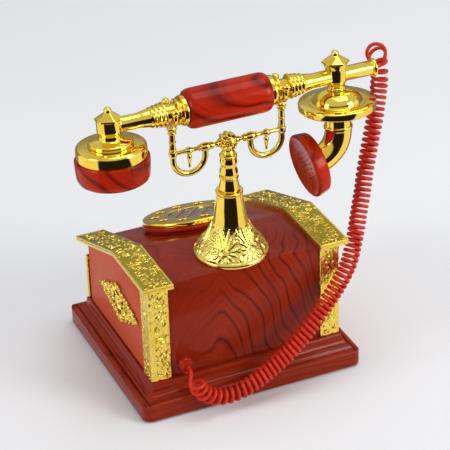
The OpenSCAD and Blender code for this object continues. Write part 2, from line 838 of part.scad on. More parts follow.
module gong_posts() {
    top = gong_z + gong_h;
    color(STEEL) for (s = [-1, 1]) translate([s * gong_x, gong_y, 0]) rotate_extrude()
        polygon([[0, plate_z1], [4, plate_z1], [4, top - gong_t], [2.5, top - gong_t],
                 [2.5, top], [4, top], [4, top + 1.5], [0, top + 1.5]]);
}

module ringer_coils() {
    color("peru") translate([0, gong_y, plate_z1]) {
        translate([-18, -8, 0]) cube([36, 16, 2]);
        for (s = [-1, 1]) translate([s * coil_x, 0, 2 - eps])
            cylinder(r = coil_r, h = coil_top - plate_z1 - 2);
        for (m = [-1, 1]) translate([-2, m * 6.5 - 1, 2 - eps])
            cube([4, 2, pivot_z - plate_z1 + 2]);
        translate([0, 0, pivot_z - plate_z1]) along_y(7) cylinder(r = pivot_r, h = 14);
    }
}

module clapper() {
    color(STEEL) translate([0, gong_y, pivot_z]) difference() {
        union() {
            along_y(5) cylinder(r = 3, h = 10);
            translate([-arm_x, -4, -1.6]) cube([2 * arm_x, 8, 1.6]);
            cylinder(r = 1, h = clapper_z - pivot_z);
            translate([0, 0, clapper_z - pivot_z]) sphere(clapper_r);
        }
        along_y(6) cylinder(r = pivot_r + run_gap, h = 12);
    }
}

module circuit_board() {
    color("darkgreen") {
        translate([-pcb_l / 2, pcb_y, board_z]) cube([pcb_l, pcb_w, board_t]);
        translate([0, pcb_y, board_z + board_t - eps]) {
            for (p = [[-12, 29, 3, 9], [-4, 29, 2.5, 7], [14, 29, 4, 12], [22, 25, 2.5, 7]])
                translate([p[0], p[1], 0]) cylinder(r = p[2], h = p[3]);
            translate([10, 11, 0]) cube([12, 8, 3]);
        }
    }
}

module terminal_block() {
    color("black") translate([3 - pcb_l / 2, pcb_y + 9, board_z + board_t]) difference() {
        cube([10, 18, 7]);
        for (k = [0 : 3]) translate([5, 2.6 + 4.25 * k, 3]) cylinder(r = 1.4, h = 5);
    }
}

module hook_switch() {
    color("dimgray") translate([0, column_y, board_z + board_t]) {
        translate([-7, -4.5, 0]) cube([14, 9, switch_h - 3.4]);
        translate([-6.5, -3, switch_h - 3.4 - eps]) cube([1.5, 6, 3.4 + eps]);
        translate([-6.5, -3, switch_h - 0.6]) cube([13, 6, 0.6]);
    }
}

// ================= handset =================

// The handset's own upright frame, leaned about its axis in the forks
module in_handset() {
    translate(axis) rotate([-handset_lean, 0, 0]) translate(-axis) children();
}

module at_post(x) { in_handset() translate([x, column_y, 0]) children(); }

module turned_x(points) {
    translate(axis) rotate([0, 90, 0]) rotate_extrude() polygon(points);
}

module handset_tube() {
    color(GILT) translate([-ear_x + 4, column_y, handset_z]) rotate([0, 90, 0]) difference() {
        cylinder(r = tube_r, h = tube_end_x + ear_x - 4);
        translate([0, 0, 1.5]) cylinder(r = tube_r - tube_wall, h = tube_end_x + ear_x - 8.1);
    }
}

module handset_grip() {
    bevel = 3;
    color(RED) turned_x([[tube_r, -grip_half], [grip_r - bevel, -grip_half],
        [grip_r - 0.4, -grip_half + bevel], [grip_r, -grip_half + bevel + 1],
        [grip_r, grip_half - bevel - 1], [grip_r - 0.4, grip_half - bevel],
        [grip_r - bevel, grip_half], [tube_r, grip_half]]);
}

module both_ends() {
    children();
    mirror([1, 0, 0]) children();
}

module grip_ferrules() {
    g = grip_half;
    f = g + ferrule_flange;
    color(GILT) both_ends() turned_x([[tube_r, g], [10, g], [10.6, g + 0.6], [10.6, f - 0.8],
        [10, f - 0.2], [7.6, f], [7.6, f + 1.2], [9.1, f + 1.6], [9.3, f + 2.4], [9, f + 3.2],
        [neck_r, neck_x0], [neck_r, ferrule_x], [tube_r, ferrule_x]]);
}

module handset_collars() {
    c = ferrule_x;
    color(GILT) both_ends() turned_x([[tube_r, c], [8.2, c], [8.8, c + 0.6], [8.8, c + 1.7],
        [7.5, c + 2.6], [7.5, c + 3], [8.3, c + 3.6], [8.3, c + 4.6], [7, c + 5.5],
        [7, c + 5.9], [7.8, c + 6.5], [7.8, c + 7.5], [6.5, c + 8.4], [6.5, c + 8.8],
        [7.2, c + 9.4], [7.2, c + 10.4], [6.3, c + 11.4], [5.9, c + 15], [tube_r, c + 18]]);
}

module tube_bore(x0, x1) {
    translate([x0, column_y, handset_z]) rotate([0, 90, 0]) cylinder(r = tube_r, h = x1 - x0);
}

module earpiece_post() {
    r = ear_post_r;
    color(GILT) in_handset() difference() {
        translate([-ear_x, column_y, 0]) rotate_extrude() polygon([
            [0, ear_drum_z1], [15.6, ear_drum_z1], [15.6, ear_drum_z1 + 2.4],
            [15, ear_drum_z1 + 3.2], [r + 0.5, ear_drum_z1 + 4.4], [r - 0.3, ear_drum_z1 + 5.2],
            [r - 0.3, ear_drum_z1 + 9], [r, ear_drum_z1 + 10], [r, ear_post_top],
            [0, ear_post_top]]);
        tube_bore(-ear_x + 4, 0);
    }
}

// A six-sided point with a ball on its top, turned as it stops when it is screwed home
module finial(r) {
    rotate([0, 0, finial_turn]) {
        cylinder(r = r, h = 1.2, $fn = 6);
        translate([0, 0, 1.2]) cylinder(r1 = r, r2 = 2.3, h = 4.6, $fn = 6);
    }
    translate([0, 0, 6.2]) sphere(2.7, $fn = 32);
}

module handset_finials() {
    color(GILT) {
        at_post(-ear_x) translate([0, 0, ear_post_top]) finial(ear_post_r + 0.9);
        at_post(mouth_x) translate([0, 0, mouth_post_top]) finial(mouth_post_r + 2.3);
    }
}

module earpiece_shell() {
    r = ear_drum_r;
    color(GILT) at_post(-ear_x) rotate_extrude() polygon([
        [0, ear_drum_z1], [0, ear_drum_z1 - 2], [r - 3.5, ear_drum_z1 - 2],
        [r - 2, ear_drum_z1 - 3.5], [r - 2, ear_drum_z0], [r, ear_drum_z0],
        [r, ear_drum_z1 - 2], [r - 0.6, ear_drum_z1 - 0.6], [r - 2, ear_drum_z1]]);
}

module sound_holes(count, circle_r, hole_r, depth) {
    for (k = [0 : count - 1]) rotate([0, 0, 360 / count * k]) translate([circle_r, 0, 0])
        cylinder(r = hole_r, h = depth);
}

module earpiece_cap() {
    r = ear_cap_r;
    z = ear_cap_z0;
    color(RED) at_post(-ear_x) difference() {
        rotate_extrude() polygon([
            [0, z + 4], [8, z + 3.4], [15, z + 1.6], [18.5, z + 0.4], [20.5, z],
            [22.5, z + 0.3], [24, z + 1.4], [24.9, z + 3.4], [r - 0.3, z + 8],
            [r, ear_drum_z0 - 0.8], [r - 0.5, ear_drum_z0], [r - 4, ear_drum_z0],
            [r - 4, z + 7], [0, z + 7]]);
        translate([0, 0, z]) {
            cylinder(r = 1.1, h = 8);
            sound_holes(6, 5, 1.1, 8);
            sound_holes(12, 10, 1.1, 8);
        }
    }
}

module receiver_capsule() {
    color(STEEL) at_post(-ear_x) translate([0, 0, ear_cap_z0 + 7]) {
        cylinder(r = ear_cap_r - 5, h = 6);
        cylinder(r = 12, h = 9);
    }
}

module mouthpiece_post() {
    r = mouth_post_r;
    z = handset_z;
    color(GILT) in_handset() difference() {
        translate([mouth_x, column_y, 0]) rotate_extrude() polygon([
            [0, dome_top - 0.4], [5.6, dome_top - 0.4], [6.6, dome_top + 0.4],
            [6.6, dome_top + 1.2], [5.7, dome_top + 1.8], [5.8, dome_top + 2.8],
            [r - 0.6, z - 5], [r, z - 2.6], [r, z + 3.6], [r - 0.2, z + 5.4], [r, z + 6.4],
            [r + 0.9, mouth_post_top - 1], [r + 0.9, mouth_post_top], [0, mouth_post_top]]);
        tube_bore(mouth_x - 20, mouth_x + 20);
    }
}

module mouthpiece_disc() {
    r = mouth_disc_r;
    z0 = mouth_disc_z0;
    z1 = mouth_disc_z1;
    h = dome_top - 0.4 - z1;
    color(GILT) at_post(mouth_x) rotate_extrude() polygon(concat(
        [[0, z0], [r - 0.8, z0], [r, z0 + 0.8], [r, z1 - 0.8], [r - 0.8, z1],
         [dome_r + 1.6, z1 - 0.4], [dome_r, z1]],
        [for (a = [10 : 10 : 80]) [5.4 + (dome_r - 5.4) * cos(a), z1 + h * sin(a)]],
        [[5.4, dome_top - 0.4], [0, dome_top - 0.4]]));
}

module mouthpiece_horn() {
    r = horn_r;
    neck = mouth_disc_z0 - horn_z;
    color(GILT) at_post(mouth_x) translate([0, 0, horn_z]) {
        rotate_extrude() polygon([[r - horn_wall, 0], [r, 0], [r + 0.6, 0.4], [r + 0.6, 2.6],
            [r - 0.3, 3], [r - 0.3, neck], [0, neck], [0, neck - 2], [r - horn_wall, neck - 2]]);
        translate([-horn_bend_r, 0, 0]) rotate([90, 0, 0]) rotate([0, 0, -horn_turn])
            rotate_extrude(angle = horn_turn) translate([horn_bend_r, 0]) difference() {
                circle(r);
                circle(r - horn_wall);
            }
    }
}

// The mouthpiece's own frame: its back on the horn's end, its face along +Z
module at_mouth() {
    in_handset() translate([horn_end_x, column_y, horn_end_z]) rotate([0, -90 - face_tilt, 0])
        translate([0, 0, mouth_t]) children();
}

module mouthpiece_cup() {
    r = mouth_r;
    t = mouth_t;
    color(RED) at_mouth() difference() {
        rotate_extrude() polygon([
            [horn_r - horn_wall, -t], [r - 2.4, -t], [r - 1.4, -t + 1.2], [r - 0.6, -t + 5],
            [r, -2], [r - 0.2, -1], [r - 1, -0.2], [r - 2, 0], [r - 3.4, -0.5], [r - 7, -1.3],
            [0, -2.2], [0, -4], [r - 4, -4], [r - 4, -t + 2], [horn_r - horn_wall, -t + 2]]);
        translate([0, 0, -5]) {
            cylinder(r = 0.7, h = 6);
            sound_holes(6, 3.4, 0.7, 6);
            sound_holes(12, 6.8, 0.7, 6);
            sound_holes(18, 10.2, 0.7, 6);
        }
    }
}

module transmitter_capsule() {
    color(STEEL) at_mouth() translate([0, 0, 2 - mouth_t]) cylinder(r = mouth_r - 6, h = mouth_t - 6);
}

module cord_ferrule() {
    x = tube_end_x;
    color(GILT) turned_x([[tube_r, x - 3], [tube_r + 0.7, x - 2.6], [tube_r + 1.3, x - 1.8],
        [tube_r + 1.3, x - 0.6], [tube_r + 0.8, x], [tube_r, x]]);
}

// ================= curly cord =================

// The middle of the coil, from the tube's end down past the column side and along the back
coil_route = [[116.2, -35.6, 227.2], [117.8, -32.2, 225.2], [119.8, -29.8, 221.6],
    [121.4, -28.8, 216], [122.4, -28.5, 209.4], [122.2, -29, 202], [121.2, -29.8, 195.4],
    [119.8, -31, 189], [118, -32.6, 182], [115.8, -34.6, 175.4], [113.4, -36.6, 169.4],
    [110.6, -39, 163], [107.8, -41.6, 156.4], [104.8, -44.2, 149], [101.8, -46.8, 141],
    [99.4, -49.2, 133], [97, -51.4, 125.6], [94.6, -53.4, 118.4], [92.2, -55.4, 111],
    [90, -57.4, 104.2], [87.2, -60, 98], [83.4, -63.6, 91.4], [79.2, -67.6, 85.6],
    [73.6, -71.4, 80], [67.6, -74.6, 74.6], [61.4, -77, 69], [55, -79.2, 63.4],
    [48.4, -81, 57], [42, -82, 50.8], [35.6, -82.8, 44.6], [29, -83.4, 38.8],
    [22, -83.8, 33.2], [14.6, -84, 28.2], [7, -84, 23.4], [-1, -84, 18.8],
    [-9.6, -84, 14.8], [-18.6, -84, 12.4], [-27.4, -84, 12.2], [-35.4, -84, 14.4],
    [-42, -84, 18.8], [-46.6, -84, 24.6], [-49, -84.4, 31]];
// Step along the coil from one curl to the next, by its distance from the start
curl_pitch = [[0, 5], [6, 8], [20, 8], [30, 4.2], [90, 4.2], [110, 3.9], [262, 3.9], [285, 5],
    [330, 6]];
// Radius of the curls, by the same distance
curl_radius = [[0, top_curl_r], [8, top_curl_r], [18, curl_r]];
route_steps = 12;
rings_per_curl = 8;
wire_sides = 6;
straight = wire_d + 0.2;
lead_steps = 9;

function unit(v) = v / norm(v);
function spline(p, i, t) = let (
    a = p[max(i - 1, 0)], b = p[i], c = p[i + 1], d = p[min(i + 2, len(p) - 1)])
    0.5 * ((2 * b) + (c - a) * t + (2 * a - 5 * b + 4 * c - d) * t * t
        + (3 * b - a - 3 * c + d) * t * t * t);
fine = [for (i = [0 : len(coil_route) - 2]) for (k = [0 : route_steps - 1])
    spline(coil_route, i, k / route_steps)];
far_along = [for (i = 0, s = 0; i < len(fine);
    s = s + (i + 1 < len(fine) ? norm(fine[i + 1] - fine[i]) : 0), i = i + 1) s];
coil_l = far_along[len(far_along) - 1];
along_x = [for (i = [0 : len(fine) - 1]) [far_along[i], fine[i].x]];
along_y_of = [for (i = [0 : len(fine) - 1]) [far_along[i], fine[i].y]];
along_z = [for (i = [0 : len(fine) - 1]) [far_along[i], fine[i].z]];
function middle(s) = [lookup(s, along_x), lookup(s, along_y_of), lookup(s, along_z)];
function heading(s) = unit(middle(min(s + 1.5, coil_l)) - middle(max(s - 1.5, 0)));

// Distances of the curls' rings along the coil, closer where the pitch is small
ring_at = [for (s = 0; s < coil_l - 0.3; s = s + lookup(s, curl_pitch) / rings_per_curl) s];
side_at = [for (i = 0, v = unit(cross(heading(0), [1, 0, 0])); i < len(ring_at); i = i + 1,
    v = i < len(ring_at) ? unit(v - (v * heading(ring_at[i])) * heading(ring_at[i])) : v) v];
first_curl_at = 300;
curls = [for (i = [0 : len(ring_at) - 1]) let (
    t = heading(ring_at[i]), u = side_at[i], w = cross(t, u),
    a = first_curl_at - 360 * i / rings_per_curl)
    middle(ring_at[i]) + lookup(ring_at[i], curl_radius) * (cos(a) * u + sin(a) * w)];

// A smooth bend from point a, heading along u, to point b, heading along v
function bend(a, u, b, v, reach, n) = [for (k = [1 : n - 1]) let (t = k / n, t2 = t * t, t3 = t2 * t)
    (2 * t3 - 3 * t2 + 1) * a + (t3 - 2 * t2 + t) * reach * u + (3 * t2 - 2 * t3) * b
        + (t3 - t2) * reach * v];
start = [tube_end_x, column_y, handset_z];
finish = [bush_x, -bush_face, bush_z];
last = len(curls) - 1;
wire = concat([start, start + [straight, 0, 0]],
    bend(start + [straight, 0, 0], [1, 0, 0], curls[0], unit(curls[1] - curls[0]), 13, lead_steps),
    curls,
    bend(curls[last], unit(curls[last] - curls[last - 1]), finish - [0, straight, 0], [0, 1, 0],
        12, lead_steps),
    [finish - [0, straight, 0], finish]);
wire_l = [for (i = 0, s = 0; i < len(wire);
    s = s + (i + 1 < len(wire) ? norm(wire[i + 1] - wire[i]) : 0), i = i + 1) s][len(wire) - 1];
wire_gap = min([for (i = [0 : len(wire) - 6]) for (j = [i + 5 : min(i + 14, len(wire) - 1)])
    norm(wire[i] - wire[j])]) - wire_d;
wire_gap_far = min([for (i = [0 : 2 : len(wire) - 20]) for (j = [i + 15 : 3 : len(wire) - 1])
    norm(wire[i] - wire[j])]) - wire_d;

function wire_heading(i) = unit(wire[min(i + 1, len(wire) - 1)] - wire[max(i - 1, 0)]);
wire_side = [for (i = 0, v = unit(cross(wire_heading(0), [0, 0, 1])); i < len(wire); i = i + 1,
    v = i < len(wire) ? unit(v - (v * wire_heading(i)) * wire_heading(i)) : v) v];

module handset_cord() {
    n = wire_sides;
    rings = len(wire);
    points = [for (i = [0 : rings - 1]) let (u = wire_side[i], w = cross(wire_heading(i), u))
        for (k = [0 : n - 1]) wire[i] + wire_d / 2 * (cos(360 * k / n) * u + sin(360 * k / n) * w)];
    sides = [for (i = [0 : rings - 2]) for (k = [0 : n - 1]) let (
        a = i * n + k, b = i * n + (k + 1) % n) for (f = [[a, a + n, b], [b, a + n, b + n]]) f];
    caps = [for (k = [1 : n - 2]) for (f = [[0, k, k + 1],
        [(rings - 1) * n, (rings - 1) * n + k + 1, (rings - 1) * n + k]]) f];
    echo(cord_length = wire_l, curls = len(curls) / rings_per_curl, coil = coil_l);
    echo(least_gap_between_neighbours = wire_gap, least_gap_elsewhere = wire_gap_far);
    color(RED) polyhedron(points, concat(sides, caps));
}

plinth();
base_plate();
feet();
base_screws();
body_shell();
end_panels();
back_pillars();
front_strips();
roof_cap_left();
roof_cap_right();
end_ornament_left();
end_ornament_right();
column_foot();
column_sleeve();
column_nut();
dial_ring();
number_plate();
finger_stop();
dial_frame();
return_spring_case();
pulse_contacts();
gongs();
gong_posts();
ringer_coils();
circuit_board();
terminal_block();
hook_switch();
line_jack();
cord_bush();
handset_cord();
hook_spring();
finger_wheel();
dial_badge();
dial_grille();
dial_shaft();
dial_gear();
governor_rotor();
cradle_stem();
cradle_rosette();
cradle_crossbar();
cradle_hooks();
cradle_pendants();
cradle_forks();
stem_clip();
clapper();
handset_tube();
handset_grip();
grip_ferrules();
handset_collars();
earpiece_post();
handset_finials();
earpiece_shell();
earpiece_cap();
receiver_capsule();
mouthpiece_post();
mouthpiece_disc();
mouthpiece_horn();
mouthpiece_cup();
transmitter_capsule();
cord_ferrule();
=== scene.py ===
"""Dresses a desk telephone in an old style and lights it for a picture.

The telephone is a lacquered wooden box with gilt trim. A turned gilt column carries a sprung
cradle, a handset lies across it, and a curly cord runs from the handset to the back of the box.
"""

import logging
import math
from dataclasses import dataclass, field
from enum import Enum
from typing import Any, Iterable, Sequence

import bpy
import numpy as np
from mathutils import Matrix, Vector


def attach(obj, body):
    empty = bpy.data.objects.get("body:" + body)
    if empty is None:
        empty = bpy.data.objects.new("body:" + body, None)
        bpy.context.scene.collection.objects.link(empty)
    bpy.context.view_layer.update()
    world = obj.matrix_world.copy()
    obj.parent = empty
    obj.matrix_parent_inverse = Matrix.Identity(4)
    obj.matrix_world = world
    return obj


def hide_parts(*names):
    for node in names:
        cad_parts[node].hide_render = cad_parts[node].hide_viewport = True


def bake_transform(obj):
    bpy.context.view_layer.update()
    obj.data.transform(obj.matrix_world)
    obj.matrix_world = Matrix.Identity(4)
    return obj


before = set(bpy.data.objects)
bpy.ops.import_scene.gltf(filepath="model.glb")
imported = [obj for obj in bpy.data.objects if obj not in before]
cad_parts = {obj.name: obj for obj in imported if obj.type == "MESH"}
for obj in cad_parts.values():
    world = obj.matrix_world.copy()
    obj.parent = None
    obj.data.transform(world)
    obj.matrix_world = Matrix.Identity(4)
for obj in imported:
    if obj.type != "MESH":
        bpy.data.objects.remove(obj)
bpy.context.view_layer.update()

log = logging.getLogger("desk_telephone")

MM = 0.001
Color = tuple[float, float, float]
Point2 = tuple[float, float]
Point3 = tuple[float, float, float]
Stops = tuple[tuple[float, Color], ...]
Piece = bpy.types.Object
Socket = bpy.types.NodeSocket


class Rider(Enum):
    """Bodies that the telephone's outer pieces move with."""

    BASE = "base"
    ROTOR = "dial_rotor"
    CRADLE = "cradle"
    HANDSET = "handset"


class Slot(Enum):
    """Material slots that the telephone's outer pieces belong to."""

    GILT = "gilt"
    GILT_RELIEF = "gilt_relief"
    MAHOGANY = "mahogany"
    PANEL = "panel_brown"
    MARBLED = "marbled_red"
    CORD = "cord_red"
    IVORY = "ivory"


# ---- finishes


class Tree:
    """A node tree of a material or the world, with short calls that add nodes and join them."""

    def __init__(self, name: str, world: bool = False) -> None:
        """Start a material or a world.

        Args:
            name: Its name.
            world: Whether it is a world.
        """
        self.material = (bpy.data.worlds if world else bpy.data.materials).new(name)
        self.material.use_nodes = True
        self.nodes = self.material.node_tree.nodes
        self.links = self.material.node_tree.links
        self.shader = self.nodes["Background" if world else "Principled BSDF"]

    def feed(self, socket: Socket, value: Any) -> None:
        """Join a socket to another one, or set its number or colour.

        Args:
            socket: Input socket to fill.
            value: Output socket, number, colour or vector.
        """
        if isinstance(value, Socket):
            self.links.new(value, socket)
        elif socket.type == "RGBA" and len(value) == 3:
            socket.default_value = (*value, 1.0)
        else:
            socket.default_value = value

    def add(self, kind: str, inputs: dict[Any, Any], **settings: Any) -> bpy.types.Node:
        """Add a node.

        Args:
            kind: Name of the node's class without its ShaderNode.
            inputs: Values or sockets by the name or number of the input.
            settings: The node's own settings.

        Returns:
            The node.
        """
        node = self.nodes.new("ShaderNode" + kind)
        for key, value in settings.items():
            setattr(node, key, value)
        for key, value in inputs.items():
            self.feed(node.inputs[key], value)
        return node

    def place(self, scale: Point3 = (1, 1, 1), turn: Point3 = (0, 0, 0),
              shift: Point3 = (0, 0, 0)) -> Socket:
        """Object coordinates, moved, turned and scaled.

        Args:
            scale: Scale along each axis.
            turn: Turn about each axis in degrees.
            shift: Shift in millimetres, made after the turn and the scale.

        Returns:
            The vector socket.
        """
        return self.add("Mapping", {
            "Vector": self.add("TexCoord", {}).outputs["Object"], "Scale": scale,
            "Rotation": tuple(math.radians(a) for a in turn),
            "Location": tuple(MM * v for v in shift)}).outputs[0]

    def noise(self, vector: Socket, scale: float, detail: float = 2.0,
              roughness: float = 0.5, distortion: float = 0.0, output: int = 0) -> Socket:
        """The number of a noise texture on a vector, or its colour as output 1."""
        return self.add("TexNoise", {"Vector": vector, "Scale": scale, "Detail": detail,
                                     "Roughness": roughness,
                                     "Distortion": distortion}).outputs[output]

    def math(self, operation: str, first: Any, second: Any) -> Socket:
        """The result of a math operation on two numbers."""
        return self.add("Math", {0: first, 1: second}, operation=operation).outputs[0]

    def vector(self, operation: str, first: Any, second: Any) -> Socket:
        """The vector that a vector math operation makes from two vectors."""
        return self.add("VectorMath", {0: first, 1: second}, operation=operation).outputs[0]

    def dot(self, first: Any, second: Any) -> Socket:
        """The dot product of two vectors."""
        return self.add("VectorMath", {0: first, 1: second},
                        operation="DOT_PRODUCT").outputs["Value"]

    def length(self, vector: Any) -> Socket:
        """The length of a vector."""
        return self.add("VectorMath", {0: vector}, operation="LENGTH").outputs["Value"]

    def span(self, value: Any, low: float, high: float, new_low: float,
             new_high: float) -> Socket:
        """A number mapped smoothly from one range to another and held there."""
        return self.add("MapRange", {"Value": value, "From Min": low, "From Max": high,
                                     "To Min": new_low, "To Max": new_high},
                        interpolation_type="SMOOTHSTEP").outputs[0]

    def ramp(self, value: Any, stops: Stops) -> Socket:
        """The colour of a number on a colour ramp.

        Args:
            value: The number's socket.
            stops: Places and colours along the ramp.

        Returns:
            The colour socket.
        """
        node = self.add("ValToRGB", {0: value})
        bar = node.color_ramp.elements
        for index, (at, color) in enumerate(stops):
            stop = bar[index] if index < 2 else bar.new(at)
            stop.position = at
            stop.color = (*color, 1.0)
        return node.outputs[0]

    def mix(self, share: Any, first: Any, second: Any,
            blend: str = "MIX") -> Socket:
        """Two colours mixed by a share, in a blend mode."""
        return self.add("Mix", {0: share, 6: first, 7: second}, data_type="RGBA",
                        blend_type=blend).outputs[2]

    def bump(self, height: Any, depth: float, strength: float = 1.0) -> None:
        """Tilt the surface by a height, on top of any bump it has.

        Args:
            height: Socket of the height, from 0 to 1.
            depth: Depth of the relief in millimetres.
            strength: Strength of the tilt.
        """
        node = self.add("Bump", {"Height": height, "Distance": depth * MM,
                                 "Strength": strength})
        normal = self.shader.inputs["Normal"]
        if normal.is_linked:
            self.links.new(normal.links[0].from_socket, node.inputs["Normal"])
        self.links.new(node.outputs[0], normal)

    def finish(self, **values: Any) -> bpy.types.Material:
        """Fill the shader's inputs.

        Args:
            values: Values or sockets by the input's name, with _ for a space.

        Returns:
            The material.
        """
        for key, value in values.items():
            self.feed(self.shader.inputs[key.replace("_", " ")], value)
        return self.material


@dataclass(frozen=True)
class Gilt:
    """Bright yellow plating on a cast or turned piece."""

    name: str = "polished_gilt"
    tint: Color = (0.95, 0.69, 0.105)
    deep: Color = (0.91, 0.60, 0.065)
    roughness: float = 0.04
    ripple: float = 0.05
    pits: float = 0.0
    # Colour of the painted shade that darkens hollows and cut lines.
    hollow_shade_color: Color = (0.38, 0.29, 0.014)
    cloud_scale: float = 55.0
    smear_scale: float = 420.0
    smear_gain: float = 2.6
    ripple_scale: float = 140.0
    pit_scale: float = 1700.0

    def build(self) -> bpy.types.Material:
        """The material: plating that varies in depth, with ripples, smears and pits, and painted
        shade mixed in where a point attribute marks hollows.
        """
        tree = Tree(self.name)
        at = tree.place()
        cloud = tree.noise(at, self.cloud_scale, 3, 0.6)
        smear = tree.noise(tree.place((1, 1, 0.25), (12, 8, 0)), self.smear_scale, 4, 0.6)
        share = tree.span(cloud, 0.35, 0.75, 0, 1)
        tree.bump(tree.noise(at, self.ripple_scale, 1.5, 0.5, 0.3), self.ripple)
        if self.pits:
            tree.bump(tree.noise(at, self.pit_scale, 3, 0.7), self.pits)
        rough = tree.span(smear, 0.4, 0.8, self.roughness, self.roughness * self.smear_gain)
        painted_hollow_shade = tree.add("Attribute", {}, attribute_name="painted_hollow_shade").outputs["Fac"]
        # Painted shade: hollows marked by the point attribute take the darker colour.
        color = tree.mix(painted_hollow_shade, tree.mix(share, self.tint, self.deep), self.hollow_shade_color)
        return tree.finish(Base_Color=color, Metallic=1.0, Roughness=rough)


@dataclass(frozen=True)
class FiguredLacquer:
    """Wood figure or marbling under a clear glossy coat."""

    name: str
    stops: Stops
    scale: Point3 = (1, 1, 1)
    turn: Point3 = (0, 0, 0)
    shift: Point3 = (0, 0, 0)
    bands: float = 60.0
    swirl: float = 0.02
    swirl_scale: float = 22.0
    pores: float = 0.25
    gloss: float = 0.16
    coat: float = 0.12
    faint: float = 0.22
    plain: float = 0.2
    faint_ratio: float = 2.7
    hush_scale: float = 14.0
    drift_scale: float = 16.0
    drift_share: float = 0.45
    pore: Color = (0.02, 0.004, 0.002)
    pore_scale: Point3 = (900, 900, 60)
    ripple: float = 0.012
    ripple_scale: float = 320.0
    specular: float = 0.09
    coat_roughness: float = 0.025

    def build(self) -> bpy.types.Material:
        """The material: swirling growth lines, darker drifts and fine pores under lacquer."""
        tree = Tree(self.name)
        at = tree.place(self.scale, self.turn, self.shift)
        wander = tree.noise(at, self.swirl_scale, 2.2, 0.55, 0.4, output=1)
        offset = tree.vector("SUBTRACT", wander, (0.5, 0.5, 0.5))
        bent = tree.vector("ADD", at, tree.vector("MULTIPLY", offset, (self.swirl,) * 3))
        ring = tree.length(bent)
        line = tree.math("PINGPONG", tree.math("MULTIPLY", ring, self.bands), 1.0)
        faint = tree.math("PINGPONG", tree.math("MULTIPLY", ring, self.bands * self.faint_ratio),
                          1.0)
        hush = tree.span(tree.noise(at, self.hush_scale, 1.5), 0.42, 0.62, self.plain, 0.9)
        ground, drawn = self.stops[-1][1], self.stops[1][1]
        color = tree.mix(hush, ground, tree.ramp(line, self.stops))
        color = tree.mix(tree.span(faint, 0.4, 0.0, 0, self.faint), color, drawn)
        drift = tree.noise(bent, self.drift_scale)
        color = tree.mix(tree.span(drift, 0.52, 0.74, 0, self.drift_share), color, drawn)
        grain = tree.noise(tree.place(self.pore_scale, self.turn), 1.0, 3, 0.6)
        color = tree.mix(tree.span(grain, 0.5, 0.8, 0, self.pores), color, self.pore)
        tree.bump(tree.noise(tree.place(), self.ripple_scale), self.ripple)
        return tree.finish(Base_Color=color,
                           Roughness=tree.span(drift, 0.3, 0.7, self.gloss, self.gloss * 2),
                           Specular_IOR_Level=self.specular, Coat_Weight=self.coat,
                           Coat_Roughness=self.coat_roughness)


@dataclass(frozen=True)
class Plain:
    """An even material with a little mottling, wear and grain."""

    name: str
    tint: Color
    shade: Color
    roughness: float = 0.4
    metallic: float = 0.0
    coat: float = 0.0
    mottle: float = 90.0
    depth: float = 0.02
    texture: float = 600.0
    specular: float = 0.3
    coat_roughness: float = 0.04

    def build(self) -> bpy.types.Material:
        """The material: two close tones, uneven gloss and a fine surface."""
        tree = Tree(self.name)
        at = tree.place()
        cloud = tree.noise(at, self.mottle, 4, 0.6)
        fine = tree.noise(at, self.texture, 3, 0.6)
        tree.bump(fine, self.depth)
        return tree.finish(
            Base_Color=tree.mix(tree.span(cloud, 0.3, 0.7, 0, 1), self.tint, self.shade),
            Roughness=tree.span(fine, 0.2, 0.8, self.roughness * 0.8, self.roughness * 1.25),
            Metallic=self.metallic, Specular_IOR_Level=self.specular, Coat_Weight=self.coat,
            Coat_Roughness=self.coat_roughness)


@dataclass(frozen=True)
class Winding:
    """Copper wire wound round an upright coil."""

    name: str = "wound_copper"
    scale: float = 900.0
    depth: float = 0.08
    # Colour of the painted shade in the grooves between turns.
    groove: Color = (0.32, 0.09, 0.03)
    crest: Color = (0.62, 0.24, 0.09)

    def build(self) -> bpy.types.Material:
        """The material: fine turns across the coil's axis, in enamelled copper, with painted shade
        in the grooves between turns.
        """
        tree = Tree(self.name)
        turns = tree.add("TexWave", {"Vector": tree.place(), "Scale": self.scale,
                                     "Distortion": 0.2}, bands_direction="Z").outputs[1]
        tree.bump(turns, self.depth)
        # Painted shade: the grooves between turns take the darker colour, and the crests take the
        # wire's own colour.
        return tree.finish(Base_Color=tree.mix(turns, self.groove, self.crest), Metallic=0.7,
                           Roughness=0.34)


BODY_STOPS: Stops = (
    (0.0, (0.045, 0.003, 0.002)), (0.08, (0.130, 0.008, 0.002)), (0.17, (0.250, 0.018, 0.004)),
    (0.62, (0.340, 0.027, 0.005)), (1.0, (0.260, 0.018, 0.004)))
MARBLE_STOPS: Stops = (
    (0.0, (0.070, 0.003, 0.001)), (0.16, (0.200, 0.008, 0.001)), (0.36, (0.410, 0.015, 0.001)),
    (0.75, (0.520, 0.022, 0.002)), (1.0, (0.450, 0.016, 0.001)))


